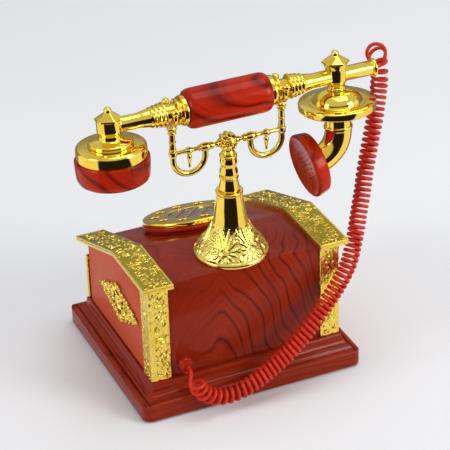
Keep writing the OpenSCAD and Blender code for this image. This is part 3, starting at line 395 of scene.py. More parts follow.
class Paints:
    """Every finish of the telephone, each built once."""

    RECIPES: dict[str, Any] = {
        "gilt": Gilt(),
        "relief": Gilt("cast_gilt", (0.95, 0.71, 0.13), (0.91, 0.62, 0.07), 0.17, 0.06, 0.04),
        "satin": Gilt("satin_gilt", (0.95, 0.73, 0.18), (0.92, 0.66, 0.10), 0.13, 0.04, 0.02),
        "boards": FiguredLacquer("figured_boards", BODY_STOPS, (1, 1, 0.42), (0, 14, 0),
                                 (22, 20, 10), 380.0, 0.036, 13.0, plain=0.12),
        "plinth": FiguredLacquer("figured_plinth", BODY_STOPS, (0.35, 0.5, 1.6), (0, 4, 0),
                                 (8, 0, 60), 300.0, 0.022, 24.0, plain=0.45),
        "marbled": FiguredLacquer("marbled_red", MARBLE_STOPS, (0.55, 1, 1), (0, 24, 10),
                                  (30, 50, -180), 170.0, 0.055, 17.0, 0.10, 0.12, 0.09, 0.3, 0.6),
        "panel": Plain("panel_lacquer", (0.600, 0.090, 0.034), (0.540, 0.078, 0.029), 0.42,
                       mottle=30.0, depth=0.006, specular=0.10),
        "cord": Plain("cord_plastic", (0.66, 0.030, 0.009), (0.56, 0.022, 0.007), 0.34,
                      coat=0.10, mottle=160.0, depth=0.012, specular=0.15),
        "bush": Plain("bush_plastic", (0.40, 0.018, 0.005), (0.33, 0.013, 0.004), 0.24,
                      coat=0.2, depth=0.01, specular=0.2),
        "badge": Plain("badge_enamel", (0.115, 0.045, 0.16), (0.085, 0.030, 0.11), 0.2,
                       coat=1.0, depth=0.01),
        "ivory": Plain("ivory_plate", (0.72, 0.64, 0.45), (0.62, 0.53, 0.34), 0.35, coat=0.3),
        "ink": Plain("digit_ink", (0.02, 0.018, 0.016), (0.03, 0.026, 0.022), 0.4),
        "steel": Plain("zinc_steel", (0.58, 0.58, 0.58), (0.46, 0.47, 0.49), 0.3, 1.0),
        "brass": Plain("bell_brass", (0.80, 0.55, 0.22), (0.68, 0.43, 0.15), 0.22, 1.0),
        "rubber": Plain("foot_rubber", (0.028, 0.028, 0.030), (0.045, 0.044, 0.044), 0.75),
        "black": Plain("black_moulding", (0.022, 0.022, 0.024), (0.032, 0.032, 0.034), 0.38),
        "board": Plain("circuit_resin", (0.02, 0.15, 0.06), (0.015, 0.11, 0.05), 0.32, coat=0.4),
        "copper": Winding(),
    }

    def __init__(self) -> None:
        """Start with no material built."""
        self.built: dict[str, bpy.types.Material] = {}

    def __getitem__(self, name: str) -> bpy.types.Material:
        """The material of that name, built on first use."""
        if name not in self.built:
            self.built[name] = self.RECIPES[name].build()
        return self.built[name]


PAINTS = Paints()


# ---- bench work


def shift(x: float, y: float, z: float) -> Matrix:
    """A shift in millimetres."""
    return Matrix.Translation((x, y, z))


def turn(angle: float, axis: str) -> Matrix:
    """A turn in degrees about an axis."""
    return Matrix.Rotation(math.radians(angle), 4, axis)


def polar(at: Point2, reach: float, way: float) -> Point2:
    """The flat point at a distance from another, in a direction in radians."""
    return at[0] + reach * math.cos(way), at[1] + reach * math.sin(way)


def above(start: float, *profile: Point2) -> list[Point2]:
    """A profile whose heights are measured from a start."""
    return [(radius, start + height) for radius, height in profile]


class Bench:
    """Modelling moves on one piece at a time, made with the edit-mode operators."""

    MIRROR = Matrix.Scale(-1, 4, Vector((1, 0, 0)))
    # Points closer than this are one, in millimetres, on made pieces and on copied solids.
    MERGE = 0.002
    MERGE_SOLID = 0.004
    # Faces that turn by less than this lie in one plane, in degrees.
    FLAT_ANGLE = 0.5

    @staticmethod
    def pick(piece: Piece) -> None:
        """Leave edit mode, deselect everything and make one piece active."""
        if bpy.context.mode != "OBJECT":
            Bench.leave()
        bpy.ops.object.select_all(action="DESELECT")
        piece.select_set(True)
        bpy.context.view_layer.objects.active = piece

    @staticmethod
    def edit(piece: Piece) -> None:
        """Open a piece in edit mode with all of it selected."""
        Bench.pick(piece)
        bpy.ops.object.mode_set(mode="EDIT")
        bpy.ops.mesh.select_mode(type="VERT")
        bpy.ops.mesh.select_all(action="SELECT")

    @staticmethod
    def leave() -> None:
        """Go back to object mode."""
        bpy.ops.object.mode_set(mode="OBJECT")

    @staticmethod
    def link(name: str, data: Any) -> Piece:
        """A new object in the scene for a mesh, a curve, a light or a camera."""
        piece = bpy.data.objects.new(name, data)
        bpy.context.scene.collection.objects.link(piece)
        return piece

    @staticmethod
    def modify(piece: Piece, kind: str, **settings: Any) -> Piece:
        """Put a modifier with its settings on a piece and apply it."""
        Bench.pick(piece)
        change = piece.modifiers.new(kind.lower(), kind)
        for key, value in settings.items():
            setattr(change, key, value)
        bpy.ops.object.modifier_apply(modifier=change.name)
        return piece

    @staticmethod
    def mesh(name: str, points: Sequence[Sequence[float]], edges: Sequence[Sequence[int]] = (),
             faces: Sequence[Sequence[int]] = ()) -> Piece:
        """A new piece from points in millimetres, with edges or faces as numbers of points."""
        data = bpy.data.meshes.new(name)
        data.from_pydata([tuple(MM * v for v in p) for p in points], edges, faces)
        return Bench.link(name, data)

    @staticmethod
    def put(piece: Piece, place: Matrix) -> Piece:
        """Move a piece's mesh, with shifts in millimetres, and keep its faces outwards."""
        move = place.copy()
        move.translation = place.translation * MM
        piece.data.transform(move)
        if place.determinant() < 0:
            piece.data.flip_normals()
        return piece

    @staticmethod
    def close(piece: Piece) -> Piece:
        """Merge doubled points and turn the faces outwards."""
        Bench.edit(piece)
        bpy.ops.mesh.remove_doubles(threshold=Bench.MERGE * MM)
        bpy.ops.mesh.normals_make_consistent(inside=False)
        Bench.leave()
        return piece

    @staticmethod
    def soften(piece: Piece, width: float, steps: int = 2, angle: float = 30.0) -> Piece:
        """Round the edges that turn by more than an angle.

        Args:
            piece: The piece.
            width: Width of the rounding in millimetres.
            steps: Faces across the rounding.
            angle: Least angle of an edge, in degrees.

        Returns:
            The piece.
        """
        return Bench.modify(piece, "BEVEL", width=width * MM, segments=steps,
                            limit_method="ANGLE", angle_limit=math.radians(angle),
                            use_clamp_overlap=True, miter_outer="MITER_ARC")

    @staticmethod
    def smooth(piece: Piece, angle: float = 40.0) -> Piece:
        """Shade a piece smooth, but for the edges that turn by more than an angle."""
        Bench.pick(piece)
        bpy.ops.object.shade_smooth_by_angle(angle=math.radians(angle))
        return piece

    @staticmethod
    def lathe(name: str, profile: Sequence[Point2], place: Matrix, steps: int = 96,
              closed: bool = False, soften: float = 0.12) -> Piece:
        """Turn a profile about the Z axis.

        Args:
            name: Name of the piece.
            profile: Radius and height of each point in millimetres, from end to end.
            place: Where the turned piece goes, in millimetres.
            steps: Sides round the axis.
            closed: Whether the profile's last point joins its first.
            soften: Width of the rounded corners in millimetres, 0 for none.

        Returns:
            The turned piece.
        """
        count = len(profile)
        edges = [(i, i + 1) for i in range(count - 1)] + ([(count - 1, 0)] if closed else [])
        piece = Bench.mesh(name, [(r, 0, z) for r, z in profile], edges)
        Bench.edit(piece)
        bpy.ops.mesh.spin(steps=steps, angle=2 * math.pi, center=(0, 0, 0), axis=(0, 0, 1))
        Bench.close(piece)
        if soften:
            Bench.soften(piece, soften)
        return Bench.smooth(Bench.put(piece, place))

    @staticmethod
    def from_node(name: str, node: str, soften: float, steps: int = 3, angle: float = 32.0,
                  shade: float = 40.0) -> Piece:
        """Take a solid's shape, merge its loose triangles and round its edges.

        Args:
            name: Name of the piece.
            node: Name of the solid.
            soften: Width of the rounded edges in millimetres.
            steps: Faces across the rounding.
            angle: Least angle of a rounded edge, in degrees.
            shade: Least angle that is left sharp in the shading.

        Returns:
            The finished copy.
        """
        piece = Bench.link(name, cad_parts[node].data.copy())
        piece.data.materials.clear()
        Bench.edit(piece)
        bpy.ops.mesh.remove_doubles(threshold=Bench.MERGE_SOLID * MM)
        bpy.ops.mesh.dissolve_limited(angle_limit=math.radians(Bench.FLAT_ANGLE))
        Bench.leave()
        return Bench.smooth(Bench.soften(piece, soften, steps, angle), shade)

    @staticmethod
    def wire(name: str, path: Sequence[Point3], radius: float, sides: int = 6) -> Piece:
        """A round wire along a path, with closed ends.

        Args:
            name: Name of the piece.
            path: Points of its middle line in millimetres.
            radius: Radius of the wire in millimetres.
            sides: Quarter resolution of its section.

        Returns:
            The wire.
        """
        curve = bpy.data.curves.new(name, "CURVE")
        curve.dimensions = "3D"
        curve.bevel_depth = radius * MM
        curve.bevel_resolution = sides
        curve.use_fill_caps = True
        line = curve.splines.new("POLY")
        line.points.add(len(path) - 1)
        for point, at in zip(line.points, path):
            point.co = (*(MM * v for v in at), 1.0)
        Bench.pick(Bench.link(name, curve))
        bpy.ops.object.convert(target="MESH")
        return Bench.smooth(Bench.close(bpy.context.object), 50.0)

    @staticmethod
    def join(name: str, pieces: Sequence[Piece]) -> Piece:
        """Join pieces into the first one and name it."""
        Bench.pick(pieces[0])
        for piece in pieces[1:]:
            piece.select_set(True)
        bpy.ops.object.join()
        pieces[0].name = name
        return pieces[0]

    @staticmethod
    def mirror(piece: Piece, name: str) -> Piece:
        """A copy of a piece with its own mesh, mirrored from right to left."""
        return Bench.put(Bench.link(name, piece.data.copy()), Bench.MIRROR)

    @staticmethod
    def both(name: str, right: Piece) -> Piece:
        """A piece and its mirror image as one."""
        return Bench.join(name, [right, Bench.mirror(right, name)])


# ---- carving


@dataclass(frozen=True)
class Bar:
    """A raised bar of ornament that tapers from one rounded end to the other."""

    start: Point2
    end: Point2
    wide: float
    narrow: float
    lift: float


@dataclass
class Carver:
    """Draws common ornament on a strip as raised bars: scrolls, leaves and small flowers."""

    # Half widths of a leaf at even steps from its base to its tip, for a width of one.
    LEAF_WIDTHS = (0.22, 0.46, 0.50, 0.36, 0.10)
    SCROLL_STEPS = 14
    # Shares of its radius and of its thickness that a scroll loses by its inner end.
    CURL = 0.80
    TAPER = 0.3

    seed: int
    bars: list[Bar] = field(default_factory=list)

    def __post_init__(self) -> None:
        """Start the carver's own run of chance."""
        self.chance = np.random.default_rng(self.seed)

    def bar(self, start: Point2, end: Point2, wide: float, narrow: float, lift: float) -> None:
        """A straight bar."""
        self.bars.append(Bar(start, end, wide, narrow, lift))

    def bead(self, at: Point2, radius: float, lift: float) -> None:
        """A round bead."""
        self.bar(at, at, radius, radius, lift)

    def leaf(self, at: Point2, angle: float, length: float, width: float, lift: float,
             curl: float = 0.0) -> None:
        """A pointed leaf that widens and narrows again along a slight curve.

        Args:
            at: Its base.
            angle: Its direction in degrees.
            length: Its length.
            width: Its full width at the widest.
            lift: Its height.
            curl: How far its direction turns along it, in degrees.
        """
        for index, (wide, narrow) in enumerate(zip(self.LEAF_WIDTHS, self.LEAF_WIDTHS[1:])):
            tip = polar(at, length / 4, math.radians(angle + curl * index / 3))
            self.bar(at, tip, width * wide, width * narrow, lift)
            at = tip

    def flower(self, at: Point2, radius: float, petals: int, lift: float) -> None:
        """A small open flower: petals round a button."""
        spin = self.chance.uniform(0, 360)
        for k in range(petals):
            way = math.radians(spin + 360 * k / petals)
            self.bar(polar(at, 0.35 * radius, way), polar(at, 0.78 * radius, way),
                     0.14 * radius, 0.26 * radius, lift)
        self.bead(at, 0.26 * radius, lift * 1.15)

    def scroll(self, at: Point2, radius: float, start: float, sweep: float, thick: float,
               lift: float, leaves: int = 0) -> None:
        """A stem that curls inwards to a bud, with leaves along its outside.

        Args:
            at: Middle of the curl.
            radius: Radius where it starts.
            start: Angle where it starts, in degrees.
            sweep: How far it turns, in degrees, either way.
            thick: Radius of the stem.
            lift: Its height.
            leaves: Number of leaves.
        """
        count = self.SCROLL_STEPS

        def stem(share: float) -> Point2:
            """The point at a share of the stem's length."""
            return polar(at, radius * (1 - self.CURL * share ** 0.8),
                         math.radians(start + sweep * share))

        points = [stem(k / count) for k in range(count + 1)]
        for k in range(count):
            self.bar(points[k], points[k + 1], thick * (1 - self.TAPER * k / count),
                     thick * (1 - self.TAPER * (k + 1) / count), lift)
        self.bead(points[-1], thick * 1.4, lift * 1.1)
        hand = 1 if sweep > 0 else -1
        for k in range(leaves):
            share = (k + 0.3) / leaves * 0.62
            size = radius * self.chance.uniform(0.75, 1.0)
            self.leaf(stem(share), start + sweep * share + hand * 38, size, size * 0.48,
                      lift * 0.9, hand * 30)


SpaceBar = tuple[np.ndarray, np.ndarray, float, float, float]


def raised(points: np.ndarray, bars: Iterable[SpaceBar]) -> np.ndarray:
    """Height of raised bars at points of a surface.

    Args:
        points: The points, one row each.
        bars: Ends, radii and lift of each bar, in the points' own space.

    Returns:
        The height at each point.
    """
    height = np.zeros(len(points))
    for a, b, ra, rb, lift in bars:
        along = b - a
        reach = max(ra, rb) + float(np.linalg.norm(along))
        near = np.flatnonzero(np.all(np.abs(points - a) < reach, axis=1))
        if not len(near):
            continue
        size = float(along @ along)
        rel = points[near] - a
        share = np.clip(rel @ along / size, 0, 1) if size > 1e-9 else np.zeros(len(near))
        away = np.linalg.norm(rel - share[:, None] * along, axis=1)
        radius = ra + (rb - ra) * share
        dome = lift * np.sqrt(np.clip(1 - (away / np.maximum(radius, 1e-6)) ** 2, 0, 1))
        height[near] = np.maximum(height[near], dome)
    return height


def raised_flat(at: np.ndarray, bars: Iterable[Bar]) -> np.ndarray:
    """Height of flat bars at points, seen from above."""
    return raised(at[:, :2], [(np.array(b.start), np.array(b.end), b.wide, b.narrow, b.lift)
                              for b in bars])


def stipple(at: np.ndarray, size: float, depth: float) -> np.ndarray:
    """A fine uneven ground: sines at odd angles whose sum never repeats.

    Args:
        at: Points in millimetres, of which only the first two coordinates count.
        size: Spacing of the dimples in millimetres.
        depth: Depth in millimetres.

    Returns:
        The height at each point.
    """
    total = np.zeros(len(at))
    for k, (angle, pitch) in enumerate(((17, 1.0), (63, 0.83), (112, 1.21), (151, 0.67))):
        way = np.array(polar((0, 0), 1, math.radians(angle)))
        total += np.sin(at[:, :2] @ way * 2 * math.pi / (size * pitch) + 1.7 * k)
    return depth * total / 4


class Assembly:
    """A group of pieces: dresses them and makes them ride on their bodies."""

    rider: Rider = Rider.BASE

    def keep(self, piece: Piece, paint: str, slot: Slot, *nodes: str,
             rider: Rider | None = None) -> None:
        """Give a finished piece its material, its body and the solids it stands for.

        Args:
            piece: The finished piece.
            paint: Name of its finish.
            slot: Material slot that the finish belongs to; not used.
            nodes: Solids that it replaces.
            rider: Its body, if not the assembly's own.
        """
        piece.data.materials.clear()
        piece.data.materials.append(PAINTS[paint])
        body = (rider or self.rider).value
        if nodes:
            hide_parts(*nodes)
        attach(piece, body)
        log.info("%s: %d faces, on %s", piece.name, len(piece.data.polygons), body)

    def gild(self, piece: Piece, node: str, rider: Rider | None = None) -> None:
        """Keep a polished gilt piece that stands for one solid."""
        self.keep(piece, "gilt", Slot.GILT, node, rider=rider)

    def build(self) -> None:
        """Build every piece of the group."""
        raise NotImplementedError


# ---- cord


@dataclass
class CurlyCord(Assembly):
    """The curly cord: a helix along a hanging route, with a plain lead at each end.

    All sizes are in millimetres and are the ones its solid is made from.
    """

    wire_d: float = 2.6
    curl_r: float = 5.1
    top_curl_r: float = 6.4
    rings_per_curl: int = 8
    finer: int = 3
    finer_route: int = 12
    heading_reach: float = 1.5
    tail: float = 0.3
    top_curls: Point2 = (8, 18)
    straight: float = 0.2
    sides: int = 12
    first_curl_at: float = 300.0
    tube_end: Point3 = (112.4, -40, 219.4)
    bush_end: Point3 = (-48.5, -71, 34.2)
    route: tuple[Point3, ...] = (
        (116.2, -35.6, 227.2), (117.8, -32.2, 225.2), (119.8, -29.8, 221.6), (121.4, -28.8, 216),
        (122.4, -28.5, 209.4), (122.2, -29, 202), (121.2, -29.8, 195.4), (119.8, -31, 189),
        (118, -32.6, 182), (115.8, -34.6, 175.4), (113.4, -36.6, 169.4), (110.6, -39, 163),
        (107.8, -41.6, 156.4), (104.8, -44.2, 149), (101.8, -46.8, 141), (99.4, -49.2, 133),
        (97, -51.4, 125.6), (94.6, -53.4, 118.4), (92.2, -55.4, 111), (90, -57.4, 104.2),
        (87.2, -60, 98), (83.4, -63.6, 91.4), (79.2, -67.6, 85.6), (73.6, -71.4, 80),
        (67.6, -74.6, 74.6), (61.4, -77, 69), (55, -79.2, 63.4), (48.4, -81, 57),
        (42, -82, 50.8), (35.6, -82.8, 44.6), (29, -83.4, 38.8), (22, -83.8, 33.2),
        (14.6, -84, 28.2), (7, -84, 23.4), (-1, -84, 18.8), (-9.6, -84, 14.8),
        (-18.6, -84, 12.4), (-27.4, -84, 12.2), (-35.4, -84, 14.4), (-42, -84, 18.8),
        (-46.6, -84, 24.6), (-49, -84.4, 31))
    pitch: tuple[Point2, ...] = ((0, 5), (6, 8), (20, 8), (30, 4.2), (90, 4.2), (110, 3.9),
                                 (262, 3.9), (285, 5), (330, 6))

    def middle_line(self) -> tuple[np.ndarray, np.ndarray]:
        """Fine points along the coil's middle, and their distances from its start."""
        p = np.array((self.route[0], *self.route, self.route[-1]), float)
        points = []
        for a, b, c, d in zip(p, p[1:], p[2:], p[3:]):
            for t in np.arange(self.finer_route) / self.finer_route:
                points.append(0.5 * (2 * b + (c - a) * t + (2 * a - 5 * b + 4 * c - d) * t * t
                                     + (3 * b - a - 3 * c + d) * t ** 3))
        fine = np.array(points)
        gone = np.concatenate([[0], np.cumsum(np.linalg.norm(np.diff(fine, axis=0), axis=1))])
        return fine, gone

    @staticmethod
    def unit(v: np.ndarray) -> np.ndarray:
        """A vector of length one."""
        return v / np.linalg.norm(v)

    def lead(self, a: np.ndarray, u: np.ndarray, b: np.ndarray, v: np.ndarray, reach: float,
             count: int = 18) -> list[np.ndarray]:
        """A smooth bend from a, heading along u, to b, heading along v, without its ends."""
        points = []
        for k in range(1, count):
            t = k / count
            points.append((2 * t ** 3 - 3 * t * t + 1) * a + (t ** 3 - 2 * t * t + t) * reach * u
                          + (3 * t * t - 2 * t ** 3) * b + (t ** 3 - t * t) * reach * v)
        return points

    def path(self) -> np.ndarray:
        """Points of the wire's middle, from the handset's tube to the bush."""
        fine, gone = self.middle_line()
        total = float(gone[-1])

        def middle(s: float) -> np.ndarray:
            """The coil's middle at a distance."""
            return np.array([np.interp(s, gone, fine[:, k]) for k in range(3)])

        def heading(s: float) -> np.ndarray:
            """The coil's direction at a distance."""
            return self.unit(middle(min(s + self.heading_reach, total))
                             - middle(max(s - self.heading_reach, 0.0)))

        pitch_s, pitch_v = zip(*self.pitch)
        rings = []
        s = 0.0
        while s < total - self.tail:
            rings.append(s)
            s += float(np.interp(s, pitch_s, pitch_v)) / self.rings_per_curl
        side = self.unit(np.cross(heading(0.0), (1, 0, 0)))
        curls = []
        for i in range(len(rings) - 1):
            for k in range(self.finer):
                share = k / self.finer
                s = rings[i] + (rings[i + 1] - rings[i]) * share
                way = heading(s)
                side = self.unit(side - (side @ way) * way)
                radius = float(np.interp(s, self.top_curls, (self.top_curl_r, self.curl_r)))
                angle = math.radians(self.first_curl_at - 360 * (i + share) / self.rings_per_curl)
                curls.append(middle(s) + radius * (math.cos(angle) * side
                                                   + math.sin(angle) * np.cross(way, side)))
        first, last = np.array(self.tube_end), np.array(self.bush_end)
        right, front = np.array((1.0, 0, 0)), np.array((0, 1.0, 0))
        out = first + (self.wire_d + self.straight) * right
        back = last - (self.wire_d + self.straight) * front
        return np.array([first, out]
                        + self.lead(out, right, curls[0], self.unit(curls[1] - curls[0]), 13)
                        + curls
                        + self.lead(curls[-1], self.unit(curls[-1] - curls[-2]), back, front, 12)
                        + [back, last])

    def build(self) -> None:
        path = self.path()
        count, n = len(path), self.sides
        ways = np.gradient(path, axis=0)
        side = self.unit(np.cross(ways[0], (0, 0, 1)))
        points: list[np.ndarray] = []
        for at, way in zip(path, ways):
            way = self.unit(way)
            side = self.unit(side - (side @ way) * way)
            other = np.cross(way, side)
            for k in range(n):
                angle = 2 * math.pi * k / n
                points.append(at + self.wire_d / 2 * (math.cos(angle) * side
                                                      + math.sin(angle) * other))
        faces: list[Sequence[int]] = [
            (i * n + k, (i + 1) * n + k, (i + 1) * n + (k + 1) % n, i * n + (k + 1) % n)
            for i in range(count - 1) for k in range(n)]
        faces += [range(n), range(count * n - 1, (count - 1) * n - 1, -1)]
        piece = Bench.smooth(Bench.close(Bench.mesh("curly_cord", points, (), faces)), 60)
        piece.data.materials.append(PAINTS["cord"])
        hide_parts("handset_cord")
        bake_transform(piece)


# ---- box


@dataclass
class Box(Assembly):
    """The plinth, the wooden body and its gilt trim, with sizes in millimetres."""

    roof_z: float = 101.0
    ridge_y: float = -10.0
    slope: float = 20.2
    cap_x0: float = 56.0
    cap_x1: float = 78.0
    cap_y: float = 69.0
    cap_t: float = 4.0
    cap_cell: float = 0.42
    cap_margin: float = 3.0
    cap_seed: int = 5
    foliage_pitch: float = 10.2
    groove_pitch: float = 4.4
    cast_cell: float = 0.34
    cast_angle: float = 38.0
    cast_margin: float = 2.0
    board_x: float = 58.2
    pillar_x: float = 73.2
    pillar_y: float = -63.0
    pillar_leg_y: float = 15.4
    pillar_t: float = 0.9
    pillar_seeds: tuple[int, int] = (11, 14)
    corner_r: float = 1.3
    body_z: float = 24.0
    strip_top: float = 61.0
    strip_y: float = 64.2
    strip_t: float = 1.4
    strip_seed: int = 23
    carved_width: float = 13.0
    panel_x: float = 72.0
    ornament_size: Point2 = (78, 34)
    ornament_y: float = -3.1
    ornament_z: float = 57.6
    ornament_tilt: float = -4.6
    ornament_t: float = 0.5
    ornament_low: float = 0.25
    ornament_seed: int = 31
    bush_at: Point3 = (-48.5, -55.8, 34.2)

    def foliage(self, length: float, width: float, seed: int) -> list[Bar]:
        """Flowers, small scrolls and loose leaves along a strip.

        Args:
            length: Length of the strip, along its second axis and centred on it.
            width: Width of the strip.
            seed: Start of its run of chance.

        Returns:
            The raised bars.
        """
        carver = Carver(seed)
        chance = carver.chance
        pitch = self.foliage_pitch
        count = int(length // pitch)
        for k in range(count):
            y = (k + 0.5 - count / 2) * length / count
            hand = 1 if k % 2 else -1
            carver.scroll((hand * 0.26 * width, y), 0.17 * width, 90 + hand * 60, hand * 400,
                          0.028 * width, 0.5, 4)
            carver.flower((-hand * 0.22 * width, y + 0.3 * pitch), 0.15 * width, 6, 0.55)
            for _ in range(13):
                at = (chance.uniform(-0.44, 0.44) * width, y + chance.uniform(-0.5, 0.5) * pitch)
                carver.leaf(at, chance.uniform(0, 360), chance.uniform(2.6, 4.4),
                            chance.uniform(1.1, 1.7), 0.5, 30)
        return carver.bars

    def grooves(self, length: float, width: float, seed: int, middle: float = 0.0) -> list[Bar]:
        """Cut lines along a strip: curls like the letter C, and dots between them.

        Args:
            length: Length of the strip, along its second axis and centred on it.
            width: Width of the strip.
            seed: Start of its run of chance.
            middle: Middle of the strip along its first axis.

        Returns:
            The cuts, as bars of height one.
        """
        carver = Carver(seed)
        chance = carver.chance
        pitch, steps = self.groove_pitch, 9
        count = int(length // pitch)
        for k in range(count):
            y = (k + 0.5 - count / 2) * length / count
            hand = 1 if k % 2 else -1
            at = (middle + hand * chance.uniform(0.06, 0.25) * width, y)
            radius, start = chance.uniform(1.7, 3.2), chance.uniform(0, 2 * math.pi)
            sweep = hand * chance.uniform(1.9, 3.7)
            curl = [(polar(at, radius, start + sweep * i / steps),
                     0.16 + 0.30 * math.sin(i * 0.35)) for i in range(steps + 1)]
            for (here, wide), (there, narrow) in zip(curl, curl[1:]):
                carver.bar(here, there, wide, narrow, 1.0)
            carver.bar(at, (at[0] + 0.2, y), 0.45, 0.4, 1.0)
            for _ in range(2):
                dot = (middle + chance.uniform(-0.42, 0.42) * width,
                       y + chance.uniform(-pitch / 2, pitch / 2))
                carver.bar(dot, polar(dot, 0.9, chance.uniform(0, 2 * math.pi)), 0.4, 0.15, 0.8)
        return carver.bars

    @staticmethod
    def paint_hollow_shade(piece: Piece, share: np.ndarray) -> None:
        """Write how much painted shade darkens each point's plating, from 0 to 1."""
        layer = piece.data.attributes.new("painted_hollow_shade", "FLOAT", "POINT")
        layer.data.foreach_set("value", np.clip(share, 0, 1).astype(np.float32))

    @staticmethod
    def points(piece: Piece) -> np.ndarray:
        """A piece's points in millimetres."""
        flat = np.empty(len(piece.data.vertices) * 3)
        piece.data.vertices.foreach_get("co", flat)
        return flat.reshape(-1, 3) / MM

    @staticmethod
    def move(piece: Piece, *columns: np.ndarray) -> None:
        """Put a piece's points where the three columns say, in millimetres."""
        piece.data.vertices.foreach_set("co", (np.stack(columns, 1) * MM).ravel())
        piece.data.update()

    def sheet(self, name: str, wide: float, long: float, cell: float
              ) -> tuple[Piece, np.ndarray, np.ndarray]:
        """A flat grid centred on the origin, all in millimetres.

        Args:
            name: Name of the piece.
            wide: Its size along X.
            long: Its size along Y.
            cell: Size of its cells.

        Returns:
            The piece, its points and each point's distance from the edge.
        """
        bpy.ops.mesh.primitive_grid_add(x_subdivisions=int(wide / cell),
                                        y_subdivisions=int(long / cell), size=1)
        piece = bpy.context.object
        piece.name = name
        Bench.edit(piece)
        bpy.ops.transform.resize(value=(wide * MM, long * MM, 1), center_override=(0, 0, 0))
        Bench.leave()
        at = self.points(piece)
        return piece, at, np.minimum(wide / 2 - np.abs(at[:, 0]), long / 2 - np.abs(at[:, 1]))

    def roof_cap(self) -> Piece:
        """The right roof cap: a bent plate with a smooth lip round carved foliage."""
        wide, long = self.cap_x1 - self.cap_x0, 2 * self.cap_y
        piece, at, edge = self.sheet("roof_cap_gilt_right", wide, long, self.cap_cell)
        lip = 0.4 * np.clip((1.15 - edge) / 0.4, 0, 1) ** 2
        lip -= 0.5 * np.clip(1 - edge / 0.5, 0, 1) ** 2
        inner = np.clip((edge - 1.0) / 0.4, 0, 1)
        relief = raised_flat(at, self.foliage(long - self.cap_margin, wide - self.cap_margin,
                                              self.cap_seed))
        # Painted shade: the ground round the raised foliage is darkened, the relief less so.
        self.paint_hollow_shade(piece, 0.9 * inner * np.clip(1 - relief / 0.4, 0, 1))
        self.move(piece, at[:, 0], at[:, 1], lip + inner * (relief + stipple(at, 2.3, 0.07)) - 0.4)
        Bench.edit(piece)
        bpy.ops.mesh.region_to_loop()
        for drop, inset in ((1.0, 0.0), (0.15, 0.45), (0.45, 0.0), (0.15, -0.45), (1.2, 0.0)):
            bpy.ops.mesh.extrude_edges_move(
                TRANSFORM_OT_translate={"value": (0, 0, -drop * MM)})
            bpy.ops.transform.resize(value=(1 - 2 * inset / wide, 1 - 2 * inset / long, 1),
                                     center_override=(0, 0, 0))
        bpy.ops.mesh.edge_face_add()
        Bench.leave()
        x, y, z = self.points(piece).T
        z = z + self.cap_t
        self.move(piece, x + (self.cap_x0 + self.cap_x1) / 2, y, np.where(z < 1.3, 0.0, z))
        Bench.edit(piece)
        bpy.ops.mesh.bisect(plane_co=(0, self.ridge_y * MM, 0), plane_no=(0, 1, 0))
        Bench.leave()
        x, y, z = self.points(piece).T
        drop = np.maximum(y - self.ridge_y, 0) * math.tan(math.radians(self.slope))
        self.move(piece, x, y, z + (self.roof_z - drop))
        return Bench.smooth(Bench.close(piece), self.cast_angle)

    def cast(self, piece: Piece, at: np.ndarray, edge: np.ndarray,
             cuts: list[Bar]) -> np.ndarray:
        """Height of a nearly smooth cast face with cut lines, which get painted shade.

        Args:
            piece: The sheet.
            at: Its points in millimetres.
            edge: Each point's distance from the sheet's edge.
            cuts: The cut lines.

        Returns:
            The height at each point.
        """
        depth = raised_flat(at, cuts)
        # Painted shade: the cut lines are darkened by their depth.
        self.paint_hollow_shade(piece, 0.85 * depth)
        lift = 0.3 + stipple(at, 5.2, 0.22) + stipple(at, 1.6, 0.06) - 0.5 * depth
        return lift - 0.45 * np.clip(1 - edge / 0.7, 0, 1) ** 2

    def thicken(self, piece: Piece, depth: float) -> Piece:
        """Give a carved sheet its thickness on its inner side, in millimetres."""
        Bench.modify(piece, "SOLIDIFY", thickness=depth * MM, offset=-1)
        return Bench.smooth(piece, self.cast_angle)

    def pillar(self) -> Piece:
        """The right back pillar: a cast angle round the corner, carved on both legs."""
        back = self.pillar_x - self.board_x - self.corner_r
        arc = math.pi / 2 * self.corner_r
        side = self.pillar_leg_y - self.corner_r
        wide, tall = back + arc + side, self.roof_z - self.body_z
        piece, at, edge = self.sheet("back_pillar_gilt_right", wide, tall, self.cast_cell)
        cuts = []
        for seed, middle in zip(self.pillar_seeds, (back / 2 - wide / 2, wide / 2 - side / 2)):
            cuts += self.grooves(tall - self.cast_margin, self.carved_width, seed, middle)
        lift = self.cast(piece, at, edge, cuts)
        u = at[:, 0] + wide / 2
        bend = np.clip((u - back) / self.corner_r, 0, math.pi / 2)
        self.move(
            piece,
            self.board_x + np.minimum(u, back) + self.corner_r * np.sin(bend)
            + lift * np.sin(bend),
            self.pillar_y + self.corner_r * (1 - np.cos(bend)) + np.maximum(u - back - arc, 0)
            + lift * -np.cos(bend),
            at[:, 1] + (self.roof_z + self.body_z) / 2)
        return self.thicken(piece, self.pillar_t)

    def strip(self) -> Piece:
        """The right front strip: a short cast plate."""
        wide, tall = self.pillar_x - self.board_x, self.strip_top - self.body_z
        piece, at, edge = self.sheet("front_strip_gilt_right", wide, tall, self.cast_cell)
        lift = self.cast(piece, at, edge, self.grooves(
            tall - self.cast_margin, wide - self.cast_margin, self.strip_seed))
        self.move(piece, (self.pillar_x + self.board_x) / 2 - at[:, 0], self.strip_y + lift,
                  at[:, 1] + (self.strip_top + self.body_z) / 2)
        return self.thicken(piece, self.strip_t)

